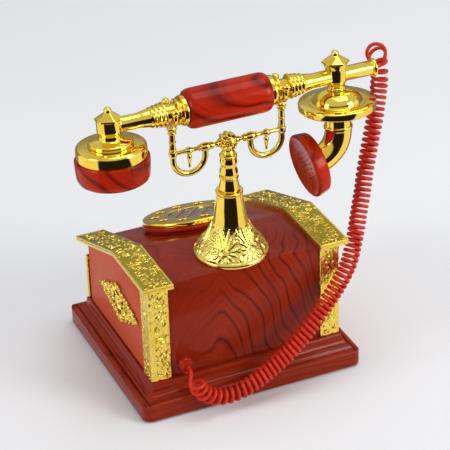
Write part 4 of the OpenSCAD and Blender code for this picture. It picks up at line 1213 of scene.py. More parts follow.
    def ornament_bars(self) -> list[Bar]:
        """Scrolls and pointed leaves along a stem, the same in its four quarters."""
        carver = Carver(self.ornament_seed)
        chance = carver.chance
        carver.flower((0, 0), 6.2, 8, 2.2)
        for m, n in ((1, 1), (1, -1), (-1, 1), (-1, -1)):
            base = 0 if m > 0 else 180
            carver.scroll((m * 3.2, n * 10.0), 3.3, 90 + m * 90, -m * n * 400, 0.75, 1.9, 3)
            for x, y, r in ((9.6, 6.3, 4.4), (17.8, 3.7, 4.2), (26.0, 1.9, 3.4)):
                carver.scroll((m * x, n * y), r, -n * 90, m * n * 430, 0.75, 1.9, 6)
            for _ in range(12):
                x = chance.uniform(2, 32)
                reach = (1 - x / 38) * 9.5 + 3
                carver.leaf((m * x, n * chance.uniform(0, 0.35) * reach),
                            base + m * n * chance.uniform(35, 80), 0.55 * reach, 1.7, 1.5,
                            -m * n * 25)
            carver.leaf((m * 1.2, n * 10.5), n * (90 - m * 12), 5.4, 2.0, 1.8)
            carver.leaf((m * 29, 0), base + m * n * 9, 8.4, 2.3, 1.9)
            carver.bar((0, 0), (m * 32, 0), 1.2, 0.7, 1.6)
        return carver.bars

    def ornament(self) -> Piece:
        """The right end ornament: carved bars cut to their outline, tilted on the end board."""
        piece, at, _ = self.sheet("end_ornament_gilt_right", *self.ornament_size, self.cast_cell)
        lift = raised_flat(at, self.ornament_bars())
        Bench.edit(piece)
        bpy.ops.mesh.select_all(action="DESELECT")
        Bench.leave()
        piece.data.vertices.foreach_set("select", lift <= self.ornament_low)
        # Painted shade: the low ground and flanks of the carved bars are darkened.
        self.paint_hollow_shade(piece, 0.8 * np.clip(1.3 - lift, 0, 1))
        self.move(piece, at[:, 0], at[:, 1], np.maximum(lift, 0.3) + 0.3)
        bpy.ops.object.mode_set(mode="EDIT")
        bpy.ops.mesh.delete(type="VERT")
        bpy.ops.mesh.select_all(action="SELECT")
        bpy.ops.mesh.region_to_loop()
        bpy.ops.mesh.extrude_edges_move(
            TRANSFORM_OT_translate={"value": (0, 0, -self.ornament_t * MM)})
        Bench.leave()
        x, y, z = self.points(piece).T
        cos, sin = polar((0, 0), 1, math.radians(self.ornament_tilt))
        self.move(piece, self.panel_x + np.maximum(z, 0.02), x * cos - y * sin + self.ornament_y,
                  x * sin + y * cos + self.ornament_z)
        return Bench.smooth(Bench.close(piece), 55)

    def build(self) -> None:
        """Build the plinth, the body and all the trim."""
        for name, node, soften, steps, paint, slot in (
                ("plinth_moulding", "plinth", 0.45, 3, "plinth", Slot.MAHOGANY),
                ("body_boards", "body_shell", 0.6, 3, "boards", Slot.MAHOGANY),
                ("end_boards", "end_panels", 0.25, 2, "panel", Slot.PANEL)):
            self.keep(Bench.from_node(name, node, soften, steps), paint, slot, node)
        for name, make, nodes in (
                ("roof_cap", self.roof_cap, ("roof_cap_right", "roof_cap_left")),
                ("back_pillar", self.pillar, ("back_pillars",)),
                ("front_strip", self.strip, ("front_strips",)),
                ("end_ornament", self.ornament, ("end_ornament_right", "end_ornament_left"))):
            right = make()
            left = Bench.mirror(right, name + "_gilt_left")
            self.keep(right, "relief", Slot.GILT_RELIEF, nodes[0])
            self.keep(left, "relief", Slot.GILT_RELIEF, nodes[-1])
        bush = Bench.lathe("cord_bush_cap", [
            (0, -2), (4.7, -2), (4.7, 0), (3.2, 0), (3.2, 6.4), (5.2, 6.4), (5.2, 10.4),
            (4.7, 11), (4.7, 15.0), (4.3, 15.2), (3.9, 14.4), (1.9, 14.2), (1.7, 15.0), (0, 15.2)],
            shift(*self.bush_at) @ turn(90, "X"), 64, soften=0.2)
        self.keep(bush, "bush", Slot.MARBLED, "cord_bush")


# ---- column


@dataclass
class Column(Assembly):
    """The carved foot and the sleeve, with sizes in millimetres."""

    y: float = -40.0
    roof_z: float = 101.0
    foot_r: float = 26.8
    foot_h: float = 25.6
    foot_bore: float = 8.6
    palms: int = 6
    first_palm: float = -127.7
    palm_seed: int = 40
    gap_seed: int = 60
    daisy_z: float = 10.5
    sheaf_z: float = 12.8

    def foot_profile(self) -> np.ndarray:
        """Radius, height and distance along the foot's outside, in rows from the bottom up."""
        falls = ((0, 1.2), (0.1, 2.4), (0.7, 3.2), (2, 4.2), (3.2, 6), (5, 8.4), (7.4, 11.4),
                 (9.6, 14.4), (11.4, 17.4), (12.8, 20.4), (13.8, 23), (14.4, self.foot_h))
        p = np.array([(self.foot_r - fall, z) for fall, z in falls], float)
        gone = np.concatenate([[0], np.cumsum(np.linalg.norm(np.diff(p, axis=0), axis=1))])
        steps = np.linspace(0, gone[-1], 66)
        return np.stack([np.interp(steps, gone, p[:, 0]), np.interp(steps, gone, p[:, 1]),
                         steps], 1)

    def foot_bars(self, profile: np.ndarray) -> list[SpaceBar]:
        """Daisies under sheaves, drops and scrolls wrapped round the foot.

        Args:
            profile: Radius, height and distance along the outside.

        Returns:
            The raised bars in space.
        """
        bars = []

        def wrap(at: Point2, middle: float) -> np.ndarray:
            """A flat point beside a palm's middle, put on the foot."""
            r = np.interp(at[1], profile[:, 2], profile[:, 0])
            z = np.interp(at[1], profile[:, 2], profile[:, 1])
            return np.array((*polar((0, 0), r, math.radians(middle) + at[0] / r), z))

        for k in range(self.palms):
            palm, gap = Carver(self.palm_seed + k), Carver(self.gap_seed + k)
            for m in (-1, 1):
                for side, lean, size, width in ((1.0, 4, 15.0, 1.9), (2.2, 15, 12.5, 2.0),
                                                (3.0, 34, 9.0, 1.9)):
                    palm.leaf((m * side, self.sheaf_z), 90 - m * lean, size, width, 0.75,
                              -m * lean * 0.6)
                for lean, size in ((74, 6.0), (98, 6.4), (123, 6.0), (149, 5.0)):
                    palm.leaf(polar((0, self.daisy_z), 3.2, math.radians(90 - m * lean)),
                              90 - m * lean, size, 2.2, 0.7, -m * 12)
                gap.bead((m * 1.9, 4.6), 0.75, 0.5)
            palm.bead((0, self.daisy_z), 3.3, 1.2)
            palm.bar((0, 3.4), (0, 5.0), 1.3, 0.4, 0.8)
            gap.scroll((-0.6, 18.6), 3.3, -30, 330, 0.75, 0.65, 1)
            gap.scroll((0.7, 13.0), 2.3, 150, 300, 0.65, 0.6)
            gap.leaf((0.4, 22.4), 84, 4.6, 1.7, 0.6, 20)
            gap.leaf((0, 4.4), 90, 5.0, 2.2, 0.6)
            middle = self.first_palm + 360 / self.palms * k
            for part, centre in ((palm, middle), (gap, middle + 180 / self.palms)):
                bars += [(wrap(b.start, centre), wrap(b.end, centre), b.wide, b.narrow, b.lift)
                         for b in part.bars]
        return bars

    def foot(self) -> Piece:
        """The bell-shaped foot with its carving raised from the turned surface."""
        profile = self.foot_profile()
        outline = [(self.foot_bore, self.foot_h), (self.foot_bore, 0.0),
                   (self.foot_r - 0.4, 0.0), (self.foot_r - 0.1, 0.4)
                   ] + [(r, z) for r, z, _ in profile]
        piece = Bench.lathe("column_foot_gilt", outline, Matrix(), 300, closed=True, soften=0)
        at = Box.points(piece)
        rs, zs, gone = profile.T
        radius = np.linalg.norm(at[:, :2], axis=1)
        outer = radius > np.interp(at[:, 2], zs, rs) - 0.05
        steps = np.interp(at[:, 2], zs, gone)
        fade = np.clip((steps - 2.8) / 1.6, 0, 1) * np.clip((gone[-1] - steps) / 1.2, 0, 1)
        slope = np.interp(steps, gone, np.arctan2(-np.gradient(rs, gone), np.gradient(zs, gone)))
        lift = raised(at, self.foot_bars(profile)) * fade * outer
        lift += 0.05 * outer * fade * stipple(np.stack(
            [np.arctan2(at[:, 1], at[:, 0]) * 18, steps], 1), 4.0, 1.0)
        way = at[:, :2] / np.maximum(radius, 1e-6)[:, None]
        at[:, :2] += way * (lift * np.cos(slope))[:, None]
        Box.move(piece, at[:, 0], at[:, 1] + self.y, at[:, 2] + lift * np.sin(slope) + self.roof_z)
        return Bench.smooth(Bench.close(piece), 60)

    def build(self) -> None:
        """Build the foot and the sleeve."""
        self.keep(self.foot(), "satin", Slot.GILT, "column_foot")
        self.gild(Bench.lathe("column_sleeve_gilt", [
            (3.6, 92), (8.5, 92), (8.5, 126.6), (12.4, 126.6), (11.9, 127.4), (9.2, 148.3),
            (9.7, 148.8), (9.7, 150.1), (9.3, 150.5), (7.05, 150.5), (7.05, 106), (3.6, 106)],
            shift(0, self.y, 0), 128, closed=True, soften=0.15), "column_sleeve")


# ---- cradle


@dataclass
class Cradle(Assembly):
    """The stem, the rosette, the crossbar and the two hooks with their forks."""

    rider = Rider.CRADLE
    y: float = -40.0
    bar_z: float = 188.0
    stem_z: float = 150.5
    stem_top: float = 179.4
    hook_x: float = 28.8
    hook_r: float = 11.9
    wire_r: float = 2.1
    bend_z: float = 182.4
    post_x: float = 40.7
    axis_z: float = 219.4
    fork_r: float = 8.4
    fork_wire_r: float = 1.9
    fork_base_z: float = 203.5
    petals: int = 8
    leaves: int = 6

    def ball(self, at: Point3, size: Point3) -> Piece:
        """A small rounded lump with the given half sizes, in millimetres."""
        bpy.ops.mesh.primitive_uv_sphere_add(segments=32, ring_count=16, radius=MM)
        piece = bpy.context.object
        Bench.edit(piece)
        bpy.ops.transform.resize(value=size, center_override=(0, 0, 0))
        Bench.leave()
        return Bench.smooth(Bench.put(piece, shift(*at)), 60)

    def rosette(self) -> Piece:
        """The flower where the crossbar meets the stem: rounded petals round a button."""
        place = shift(0, self.y, self.bar_z)
        face = [(4.7, 4.4), (4.4, 5.3), (3.5, 5.7), (3.2, 6.5), (2.4, 6.9), (1.6, 6.6),
                (1.15, 5.9), (1.0, 4.6), (0, 4.6)]
        z = self.stem_top
        return Bench.join("cradle_rosette_gilt", [
            Bench.lathe("core", [(r, -h) for r, h in face[::-1]] + face, place @ turn(90, "X"),
                        64)] + [
            Bench.put(self.ball((0, 0, 4.7), (2.15, 5.6, 2.25)),
                      place @ turn(360 / self.petals * k, "Y")) for k in range(self.petals)] + [
            Bench.lathe("neck", [(0, z), (4.4, z), (4.6, 180.2), (3.6, 181.4), (3.4, 185),
                                 (0, 185)], shift(0, self.y, 0), 64),
            Bench.lathe("sockets", [(0, -7.4), (2.2, -7.4), (2.5, -7.0), (2.4, 0), (2.5, 7.0),
                                    (2.2, 7.4), (0, 7.4)], place @ turn(90, "Y"), 48)])

    def arm(self) -> Piece:
        """The right half of the turned crossbar."""
        r = 1.4
        return Bench.lathe("arm", [
            (0, 7.4), (2.0, 7.4), (2.2, 8.2), (r, 9.2), (r, 11), (2.3, 11.2), (2.3, 12),
            (1.8, 12.2), (2.6, 12.5), (2.6, 13.2), (2.0, 13.5), (2.7, 14.3), (3.0, 15.4),
            (3.05, 16.9), (3.0, 18.4), (2.7, 19.5), (2.0, 20.2), (1.7, 20.4), (2.2, 20.8),
            (2.2, 21.6), (r, 22), (r, 26.6), (2.0, 27.2), (2.4, 28.2), (2.5, 29.1), (2.4, 30),
            (2.0, 31), (r, 31.6), (r, 39), (0, 39)],
            shift(0, self.y, self.bar_z) @ turn(90, "Y"), 48, soften=0.08)

    def bent(self, name: str, radius: float, path: Sequence[Point3]) -> Piece:
        """A wire whose path is measured from the stem's middle plane."""
        return Bench.put(Bench.wire(name, path, radius), shift(0, self.y, 0))

    def hook(self) -> Piece:
        """The right hook: a wire that bends under and rises as a post with rings."""
        steps = 30
        bend = [polar((self.hook_x, self.bend_z), -self.hook_r, math.pi * k / steps)
                for k in range(steps + 1)]
        rings = Bench.lathe("rings", above(
            self.bar_z, (0, -2.4), (2.2, -2.4), (2.8, -1.9), (2.9, 0), (2.8, 1.9), (2.2, 2.2),
            (2.2, 2.9), (2.6, 3.1), (2.6, 3.8), (2.15, 4.1), (2.15, 8.4), (2.5, 8.8), (2.5, 9.5),
            (2.15, 9.9), (0, 9.9)), shift(self.post_x, self.y, 0), 48, soften=0.1)
        return Bench.join("hook", [self.bent("wire", self.wire_r, [
            (self.hook_x - self.hook_r, 0, self.bar_z - 1), *((x, 0, z) for x, z in bend),
            (self.post_x, 0, self.fork_base_z)]), rings])

    def fork(self) -> Piece:
        """The right fork: a leafy cup, a round yoke and two ball tips."""
        x, r, steps = self.post_x, self.fork_r, 24
        bend = [polar((0, self.axis_z), r, -math.pi * k / steps) for k in range(steps + 1)]
        tip = self.axis_z + 3
        parts = [self.bent("yoke", self.fork_wire_r, [
            (x, r, tip), *((x, y, z) for y, z in bend), (x, -r, tip)])]
        for m in (-1, 1):
            parts += [
                self.ball((x, self.y + m * (r + 0.7), self.axis_z + 4.4), (2.6, 2.6, 2.6)),
                Bench.lathe("collar", [(0, 1.2), (2.2, 1.2), (2.35, 1.7), (2.2, 2.3), (0, 2.3)],
                            shift(x, self.y + m * r, self.axis_z), 40)]
        z = self.fork_base_z
        parts.append(Bench.lathe("cup", above(
            z, (0, 0), (2.8, 0), (3.0, 0.6), (2.7, 1.5), (2.1, 1.9), (2.2, 2.4), (3.0, 3.0),
            (3.3, 3.9), (3.0, 5.0), (2.5, 5.6), (2.7, 6.2), (2.3, 7.0), (0, 7.0)),
            shift(x, self.y, 0), 48, soften=0.1))
        for k in range(self.leaves):
            at = polar((x, self.y), 2.5, math.radians(360 / self.leaves * k + 30))
            parts.append(self.ball((*at, z + 3.7), (1.1, 1.1, 1.7)))
        return Bench.join("fork", parts)

    def drop(self) -> Piece:
        """The right pendant under the crossbar."""
        return Bench.lathe("drop", [
            (0, -13.2), (0.6, -13), (1.0, -12.2), (0.7, -11.4), (1.1, -9), (1.5, -6.4),
            (1.9, -4.6), (1.7, -3.9), (1.2, -3.6), (0.9, -3), (0.9, 0), (0, 0)],
            shift(self.hook_x, self.y, self.bar_z), 32, soften=0.06)

    def build(self) -> None:
        """Build the cradle's pieces."""
        self.gild(Bench.lathe("cradle_stem_gilt", [
            (0, 40.3), (3.5, 40.3), (3.5, 124), (7, 124), *above(
                self.stem_z, (7, 0.5), (7.5, 0.8), (7.4, 3), (6.2, 9.6), (6.7, 9.9),
                (6.95, 10.4), (6.8, 10.9), (6.1, 11.4), (6.4, 12.6), (6.5, 14), (6.4, 15.2),
                (6.0, 16.4), (5.65, 17.8), (5.6, 19), (5.8, 20.2), (6.1, 21.6), (6.05, 23.2),
                (5.7, 24.6), (5.3, 25.6), (5.9, 25.9), (6.3, 26.4), (6.3, 27.2), (5.9, 27.7),
                (5.2, 28)), (5.2, self.stem_top), (0, self.stem_top)],
            shift(0, self.y, 0), 128, soften=0.08), "cradle_stem")
        self.gild(self.rosette(), "cradle_rosette")
        for node, make in (("cradle_crossbar", self.arm), ("cradle_hooks", self.hook),
                           ("cradle_forks", self.fork), ("cradle_pendants", self.drop)):
            self.gild(Bench.both(node + "_gilt", make()), node)


# ---- dial


@dataclass
class Dial(Assembly):
    """The sloping dial: its ring, numbered plate, finger wheel and badge."""

    rider = Rider.ROTOR
    y: float = 30.824
    z: float = 85.98
    slope: float = 20.2
    wheel_r: float = 36.0
    circle_r: float = 26.5
    first_hole: float = 20.0
    digit_size: float = 6.0
    digit_t: float = 0.06
    plate_z: float = 6.04

    @property
    def place(self) -> Matrix:
        """The dial's own frame: its face along +Z."""
        return shift(0, self.y, self.z) @ turn(-self.slope, "X")

    def digits(self) -> Piece:
        """The numbers 1 to 9 and 0 on the plate, each seen through its finger hole."""
        parts = []
        for k in range(10):
            bpy.ops.object.text_add()
            text = bpy.context.object
            text.data.body = str((k + 1) % 10)
            text.data.align_x = "CENTER"
            text.data.align_y = "CENTER"
            text.data.size = self.digit_size * MM
            text.data.extrude = self.digit_t * MM
            bpy.ops.object.convert(target="MESH")
            at = polar((0, 0), self.circle_r, math.radians(self.first_hole + 36 * k))
            parts.append(Bench.put(bpy.context.object, self.place @ shift(*at, self.plate_z)
                                   @ turn(180, "Z")))
        return Bench.close(Bench.join("dial_digits", parts))

    def build(self) -> None:
        """Build the dial's pieces."""
        w = self.wheel_r
        ring = Bench.lathe("dial_ring_dark", [
            (25, -4.5), (26, -4.5), (26, 0), (33, 0), (33, 2.5), (w + 0.1, 2.5), (w + 0.7, 3.1),
            (w + 0.7, 4.8), (w + 0.3, 5.2), (25, 5.2)], self.place, 128, closed=True, soften=0.2)
        self.keep(ring, "bush", Slot.MAHOGANY, "dial_ring", rider=Rider.BASE)
        self.keep(self.digits(), "ink", Slot.IVORY, rider=Rider.BASE)
        for node, soften, rider in (("finger_wheel", 0.4, Rider.ROTOR),
                                    ("dial_grille", 0.25, Rider.ROTOR),
                                    ("finger_stop", 0.4, Rider.BASE)):
            self.gild(Bench.from_node(node + "_gilt", node, soften), node, rider)


class PlainSolids(Assembly):
    """The solids that keep their own shape: small parts, and the works inside the box."""

    FINISHES: dict[str, tuple[str, ...]] = {
        "steel": ("base_plate", "base_screws", "column_nut", "hook_spring", "stem_clip",
                  "dial_shaft", "dial_frame", "return_spring_case", "gong_posts", "clapper",
                  "receiver_capsule", "transmitter_capsule"),
        "rubber": ("feet",),
        "black": ("line_jack", "pulse_contacts", "terminal_block", "hook_switch"),
        "ivory": ("number_plate",),
        "badge": ("dial_badge",),
        "brass": ("dial_gear", "governor_rotor", "gongs"),
        "copper": ("ringer_coils",),
        "board": ("circuit_board",),
    }

    def build(self) -> None:
        """Give each solid its finish."""
        for paint, nodes in self.FINISHES.items():
            for node in nodes:
                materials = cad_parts[node].data.materials
                materials.clear()
                materials.append(PAINTS[paint])
                log.info("%s: dressed in %s", node, paint)


# ---- handset


@dataclass
class Handset(Assembly):
    """The handset: a gilt tube with a marbled grip, earpiece and mouthpiece."""

    rider = Rider.HANDSET
    axis: Point3 = (0, -40, 219.4)
    lean: float = 5.0
    tube_r: float = 5.2
    grip_half: float = 30.5
    grip_r: float = 14.0
    ear_x: float = 85.1
    ear_z: float = -12.5
    mouth_x: float = 82.6
    tube_end_x: float = 112.4
    horn_r: float = 9.5
    horn_z: float = -39.4
    bend_r: float = 21.5
    horn_turn: float = 80.0
    disc_r: float = 27.3
    disc_z: float = -23.8
    rim_z: float = -18.3
    dome_r: float = 17.0
    dome_z: float = -10.0
    neck_r: float = 5.4
    drum_r: float = 24.2
    cup_r: float = 23.3
    cup_t: float = 10.3
    cup_at: Point3 = (64.83, -40, 158.83)
    cup_angle: float = -100.0
    hole_r: float = 0.7
    hole_rings: tuple[tuple[float, int], ...] = ((0.0, 1), (3.4, 6), (6.8, 12), (10.2, 18))

    @property
    def along(self) -> Matrix:
        """The frame of pieces turned about the handset's axis."""
        return shift(*self.axis) @ turn(90, "Y")

    def post(self, x: float) -> Matrix:
        """The leaned frame of an upright post, its height measured from the axis."""
        return shift(*self.axis) @ turn(-self.lean, "X") @ shift(x, 0, 0)

    def turned(self, name: str, profile: Sequence[Point2], steps: int = 96,
               soften: float = 0.12) -> Piece:
        """A ring turned about the handset's axis, bored for its tube."""
        return Bench.lathe(name, profile, self.along, steps, closed=True, soften=soften)

    def build_grip(self) -> None:
        """The tube, the grip and the rings between them."""
        t, g, r = self.tube_r, self.grip_half, self.grip_r
        x0, x1 = -self.ear_x + 4, self.tube_end_x
        self.gild(Bench.lathe("handset_tube_gilt", [
            (0, x0), (t, x0), (t, x1), (3.8, x1), (3.8, x0 + 1.5), (0, x0 + 1.5)], self.along),
            "handset_tube")
        half = above(g, (11.2, 0), (12.2, -0.5), (13.0, -1.4), (13.55, -2.6), (13.85, -4.0),
                     (r, -6))
        grip = self.turned("marbled_grip", [(t, -g), (10.9, -g)] + [(a, -b) for a, b in half]
                           + half[::-1] + [(10.9, g), (t, g)], 128, 0.2)
        self.keep(grip, "marbled", Slot.MARBLED, "handset_grip")
        f, c = g + 4.2, g + 15
        ferrule = [
            *above(g, (t, 0), (9.9, 0), (10.5, 0.4), (10.65, 1.2)),
            *above(f, (10.65, -1.2), (10.4, -0.5), (9.8, -0.1), (7.6, 0), (7.6, 1.2), (8.8, 1.4),
                   (9.25, 1.9), (9.25, 2.7), (8.9, 3.2), (7.2, 3.8)),
            *above(g, (6.35, 8.4), (6.2, 9)), (6.2, c), (t, c)]
        self.gild(Bench.both("grip_ferrules_gilt", self.turned("ferrule", ferrule)),
                  "grip_ferrules")
        collars = above(
            c, (t, 0), (8.2, 0), (8.8, 0.6), (8.8, 1.7), (7.5, 2.6), (7.5, 3), (8.3, 3.6),
            (8.3, 4.6), (7, 5.5), (7, 5.9), (7.8, 6.5), (7.8, 7.5), (6.5, 8.4), (6.5, 8.8),
            (7.2, 9.4), (7.2, 10.4), (6.3, 11.4), (5.9, 15), (5.5, 17), (t, 18))
        self.gild(Bench.both("handset_collars_gilt", self.turned("collars", collars,
                                                                 soften=0.35)),
                  "handset_collars")
        self.gild(self.turned("cord_ferrule_gilt", above(
            x1, (t, -3), (5.9, -2.6), (6.5, -1.8), (6.6, -1.2), (6.5, -0.6), (6.0, 0), (t, 0))),
            "cord_ferrule")

    def build_ear(self) -> None:
        """The earpiece: its post, gilt drum and marbled cap."""
        z, r, place = self.ear_z, self.drum_r, self.post(-self.ear_x)
        self.gild(Bench.lathe("earpiece_post_gilt", above(
            z, (0, 0), (15.6, 0), (15.6, 2.4), (15, 3.2), (9.1, 4.4), (8.3, 5.2), (8.3, 9),
            (8.6, 10)) + [(8.6, 5.4), (0, 5.4)], place, 128, soften=0.3), "earpiece_post")
        self.gild(Bench.lathe("earpiece_drum_gilt", above(
            z, (0, -0.05), (0, -2), (r - 3.5, -2), (r - 2, -3.5), (r - 2, -9), (r - 0.3, -9),
            (r, -8.6), (r, -2.4), (r - 0.15, -1.5), (r - 0.7, -0.7), (r - 1.5, -0.15),
            (r - 2.4, 0), (15.65, 0)), place, 128), "earpiece_shell")
        self.keep(Bench.from_node("earpiece_cap_marbled", "earpiece_cap", 0.25, 2, 40.0),
                  "marbled", Slot.MARBLED, "earpiece_cap")

    def build_mouth(self) -> None:
        """The mouthpiece: its post, dome, horn and marbled cup."""
        place = self.post(self.mouth_x)
        self.gild(Bench.lathe("mouthpiece_post_gilt", [
            (0, -10), (5.6, -10), (6.5, -9.5), (6.7, -8.8), (6.5, -8.2), (5.75, -7.6),
            (5.75, -6.8), (6.2, -5.8), (6.8, -4.8), (7.25, -3.6), (7.4, -2.4), (7.4, 3.6),
            (7.2, 5.0), (7.3, 6.2), (8.3, 8.8), (8.3, 9.8), (0, 9.8)], place),
            "mouthpiece_post")
        r, d, n, rise = self.disc_r, self.dome_r, self.neck_r, self.dome_z - self.rim_z
        dome = [(n + (d - n) * math.cos(math.radians(a)), rise * math.sin(math.radians(a)))
                for a in range(6, 86, 5)]
        self.gild(Bench.lathe("mouthpiece_disc_gilt", above(
            self.disc_z, (0, 0), (r - 0.6, 0), (r - 0.1, 0.5), (r, 1.0)) + above(
            self.rim_z, (r, -0.9), (r - 0.3, -0.3), (r - 0.9, 0), (d + 3, -0.2), (d + 0.6, -0.3),
            *dome) + [(n, self.dome_z), (0, self.dome_z)], place, 128), "mouthpiece_disc")
        h, top = self.horn_r, self.disc_z + 0.1
        neck = Bench.lathe("neck", above(
            self.horn_z, (h, -0.2), (h, 0), (h + 0.55, 0.3), (h + 0.7, 0.9), (h + 0.7, 2.0),
            (h + 0.5, 2.6), (h - 0.3, 3.0)) + [(h - 0.3, top), (0, top)], place, soften=0.1)
        path = [(-self.bend_r * (1 - math.cos(math.radians(a))), 0,
                 self.horn_z - self.bend_r * math.sin(math.radians(a)))
                for a in np.linspace(0, self.horn_turn, 49)]
        bend = Bench.put(Bench.wire("bend", path, h, 14), place)
        self.gild(Bench.join("mouthpiece_horn_gilt", [neck, bend]), "mouthpiece_horn")
        self.keep(self.cup(), "marbled", Slot.MARBLED, "mouthpiece_cup")

    def cup(self) -> Piece:
        """The mouthpiece cup: a shallow dish with rings of fine holes in its face."""
        r, t = self.cup_r, self.cup_t
        cup = Bench.lathe("mouthpiece_cup_marbled", [
            (7.5, -t), (r - 2.4, -t), (r - 1.4, -t + 1.2), (r - 0.6, -t + 5), (r, -2),
            (r - 0.2, -1), (r - 1, -0.2), (r - 2, 0), (r - 3.4, -0.5), (r - 7, -1.3), (0, -2.2),
            (0, -4), (r - 4, -4), (r - 4, -t + 2), (7.5, -t + 2)], Matrix(), 128, closed=True,
            soften=0.25)
        drills = []
        for ring, count in self.hole_rings:
            for k in range(count):
                x, y = polar((0, 0), ring, 2 * math.pi * k / count)
                bpy.ops.mesh.primitive_cylinder_add(vertices=16, radius=self.hole_r * MM,
                                                    depth=6 * MM,
                                                    location=(x * MM, y * MM, -3 * MM))
                bpy.ops.object.transform_apply(location=True)
                drills.append(bpy.context.object)
        drill = Bench.join("drills", drills)
        Bench.modify(cup, "BOOLEAN", operation="DIFFERENCE", object=drill)
        bpy.data.objects.remove(drill)
        x, y, z = self.axis
        Bench.put(cup, shift(x, y, z) @ turn(-self.lean, "X") @ shift(-x, -y, -z)
                  @ shift(*self.cup_at) @ turn(self.cup_angle, "Y") @ shift(0, 0, t))
        return Bench.modify(Bench.smooth(cup, 30), "WEIGHTED_NORMAL", keep_sharp=True)

    def build(self) -> None:
        """Build the whole handset."""
        self.build_grip()
        self.build_ear()
        self.build_mouth()
        self.gild(Bench.from_node("handset_finials_gilt", "handset_finials", 0.15, 3, 20.0, 25.0),
                  "handset_finials")


# ---- studio


@dataclass(frozen=True)
class Lamp:
    """A square soft lamp: its place and size in metres, and its power in watts."""

    name: str
    at: Point3
    size: float
    power: float

    def hang(self, target: Vector) -> None:
        """Hang the lamp and turn it to a target."""
        data = bpy.data.lights.new(self.name, "AREA")
        data.shape = "SQUARE"
        data.size = self.size
        data.energy = self.power
        lamp = Bench.link(self.name, data)
        lamp.location = self.at
        lamp.rotation_euler = (target - lamp.location).to_track_quat("-Z", "Y").to_euler()


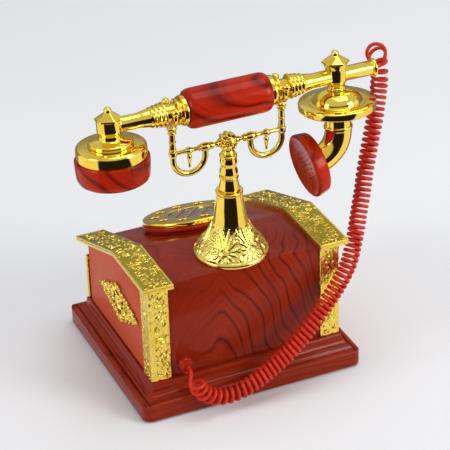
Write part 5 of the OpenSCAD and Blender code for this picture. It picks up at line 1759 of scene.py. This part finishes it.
@dataclass(frozen=True)
class Studio:
    """The camera, the pale floor, the soft lamps and the room that gilt reflects, in metres."""

    eye: Point3 = (-0.49177, -1.19027, 0.85403)
    right: Point3 = (0.91361, -0.40557, -0.02872)
    up: Point3 = (0.22769, 0.45183, 0.86256)
    back: Point3 = (-0.33685, -0.79458, 0.50514)
    lens: float = 165.7
    sensor: float = 36.0
    clip_start: float = 0.05
    focus: Point3 = (0, 0, 0.1)
    floor_size: float = 12.0
    table_edge: tuple[float, float] = (0.26, 0.29)
    horizon: tuple[float, float] = (0.22, 0.42)
    degrees_per_radian: float = 57.3
    front_side: tuple[float, float, float] = (-112, 112, 5)
    front_dark: tuple[float, float, float] = (-40, 52, 2.5)
    pale: Color = (0.86, 0.87, 0.885)
    pale_shade: Color = (0.83, 0.84, 0.86)
    wall: Color = (0.27, 0.275, 0.28)
    bright: Color = (0.98, 0.98, 1.0)
    dark: Color = (0.018, 0.015, 0.012)
    ceiling: Color = (0.66, 0.67, 0.69)
    ambient: Color = (0.42, 0.425, 0.435)
    lamps: tuple[Lamp, ...] = (
        Lamp("window_left", (-2.0, -0.2, 1.0), 0.9, 14.0),
        Lamp("ceiling", (0.5, 0.0, 2.3), 1.4, 19.0),
        Lamp("fill_right", (1.4, -1.5, 1.0), 0.9, 23.0))

    def aim(self) -> None:
        """Set the camera up."""
        data = bpy.data.cameras.new("camera")
        data.lens = self.lens
        data.sensor_width = self.sensor
        data.clip_start = self.clip_start
        camera = Bench.link("camera", data)
        rows = zip(self.right, self.up, self.back, self.eye)
        camera.matrix_world = Matrix([list(row) for row in rows] + [[0, 0, 0, 1]])
        bpy.context.scene.camera = camera
        bpy.context.scene.view_settings.view_transform = "Standard"

    @staticmethod
    def band(tree: Tree, value: Any, low: float, high: float, edge: float) -> Socket:
        """1 between two numbers and 0 outside, with a soft edge."""
        return tree.math("MULTIPLY", tree.span(value, low - edge, low + edge, 0, 1),
                         tree.span(value, high - edge, high + edge, 1, 0))

    def walls(self, tree: Tree, way: Socket) -> Socket:
        """The colour round the room as gilt shows it: dark in front, bright beside, grey behind.

        Args:
            tree: Tree of the floor or the world.
            way: Place on the floor, or a direction.

        Returns:
            The socket of the colour.
        """
        front = Vector((self.back[0], self.back[1], 0)).normalized()
        # Degrees round the room from its front, positive to the right.
        across, toward = tree.dot(way, (-front.y, front.x, 0)), tree.dot(way, front)
        angle = tree.math("MULTIPLY", tree.math("ARCTAN2", across, toward),
                          self.degrees_per_radian)
        color = tree.mix(self.band(tree, angle, *self.front_side), self.wall, self.bright)
        return tree.mix(self.band(tree, angle, *self.front_dark), color, self.dark)

    def floor(self) -> None:
        """Lay the pale floor, which reflections see as far as the table's edge."""
        bpy.ops.mesh.primitive_grid_add(x_subdivisions=4, y_subdivisions=4, size=self.floor_size)
        floor = bpy.context.object
        floor.name = "floor"
        tree = Tree("pale_floor")
        at = tree.place()
        cloud = tree.noise(at, 1.5)
        floor.data.materials.append(tree.finish(
            Base_Color=tree.mix(tree.span(cloud, 0.3, 0.7, 0, 1), self.pale, self.pale_shade),
            Roughness=0.6, Specular_IOR_Level=0.12))
        beyond = tree.math("MULTIPLY", tree.span(tree.length(at), *self.table_edge, 0, 1),
                           tree.add("LightPath", {}).outputs["Is Glossy Ray"])
        glow = tree.add("Emission", {"Color": self.walls(tree, at)})
        both = tree.add("MixShader", {0: beyond, 1: tree.shader.outputs[0],
                                      2: glow.outputs[0]})
        tree.feed(tree.nodes["Material Output"].inputs[0], both.outputs[0])

    def room(self) -> None:
        """Make the room: even light, and for reflections its walls and a pale ceiling."""
        tree = Tree("room", world=True)
        bpy.context.scene.world = tree.material
        way = tree.add("TexCoord", {}).outputs["Generated"]
        height = tree.add("SeparateXYZ", {0: way}).outputs[2]
        shown = tree.mix(tree.span(height, *self.horizon, 0, 1), self.walls(tree, way),
                         self.ceiling)
        seen = tree.add("LightPath", {})
        color = tree.mix(seen.outputs["Is Glossy Ray"], self.ambient, shown)
        color = tree.mix(seen.outputs["Is Camera Ray"], color, self.pale)
        tree.finish(Color=color, Strength=1.0)

    def build(self) -> None:
        """Build the studio."""
        self.aim()
        self.floor()
        self.room()
        for lamp in self.lamps:
            lamp.hang(Vector(self.focus))


def main() -> None:
    """Build the studio and the telephone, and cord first."""
    logging.basicConfig(level=logging.INFO, format="%(name)s: %(message)s")
    Studio().build()
    for part in (CurlyCord(), Box(), Column(), Cradle(), Dial(), PlainSolids(), Handset()):
        part.build()
        log.info("%s built", type(part).__name__)


if __name__ == "__main__":
    main()
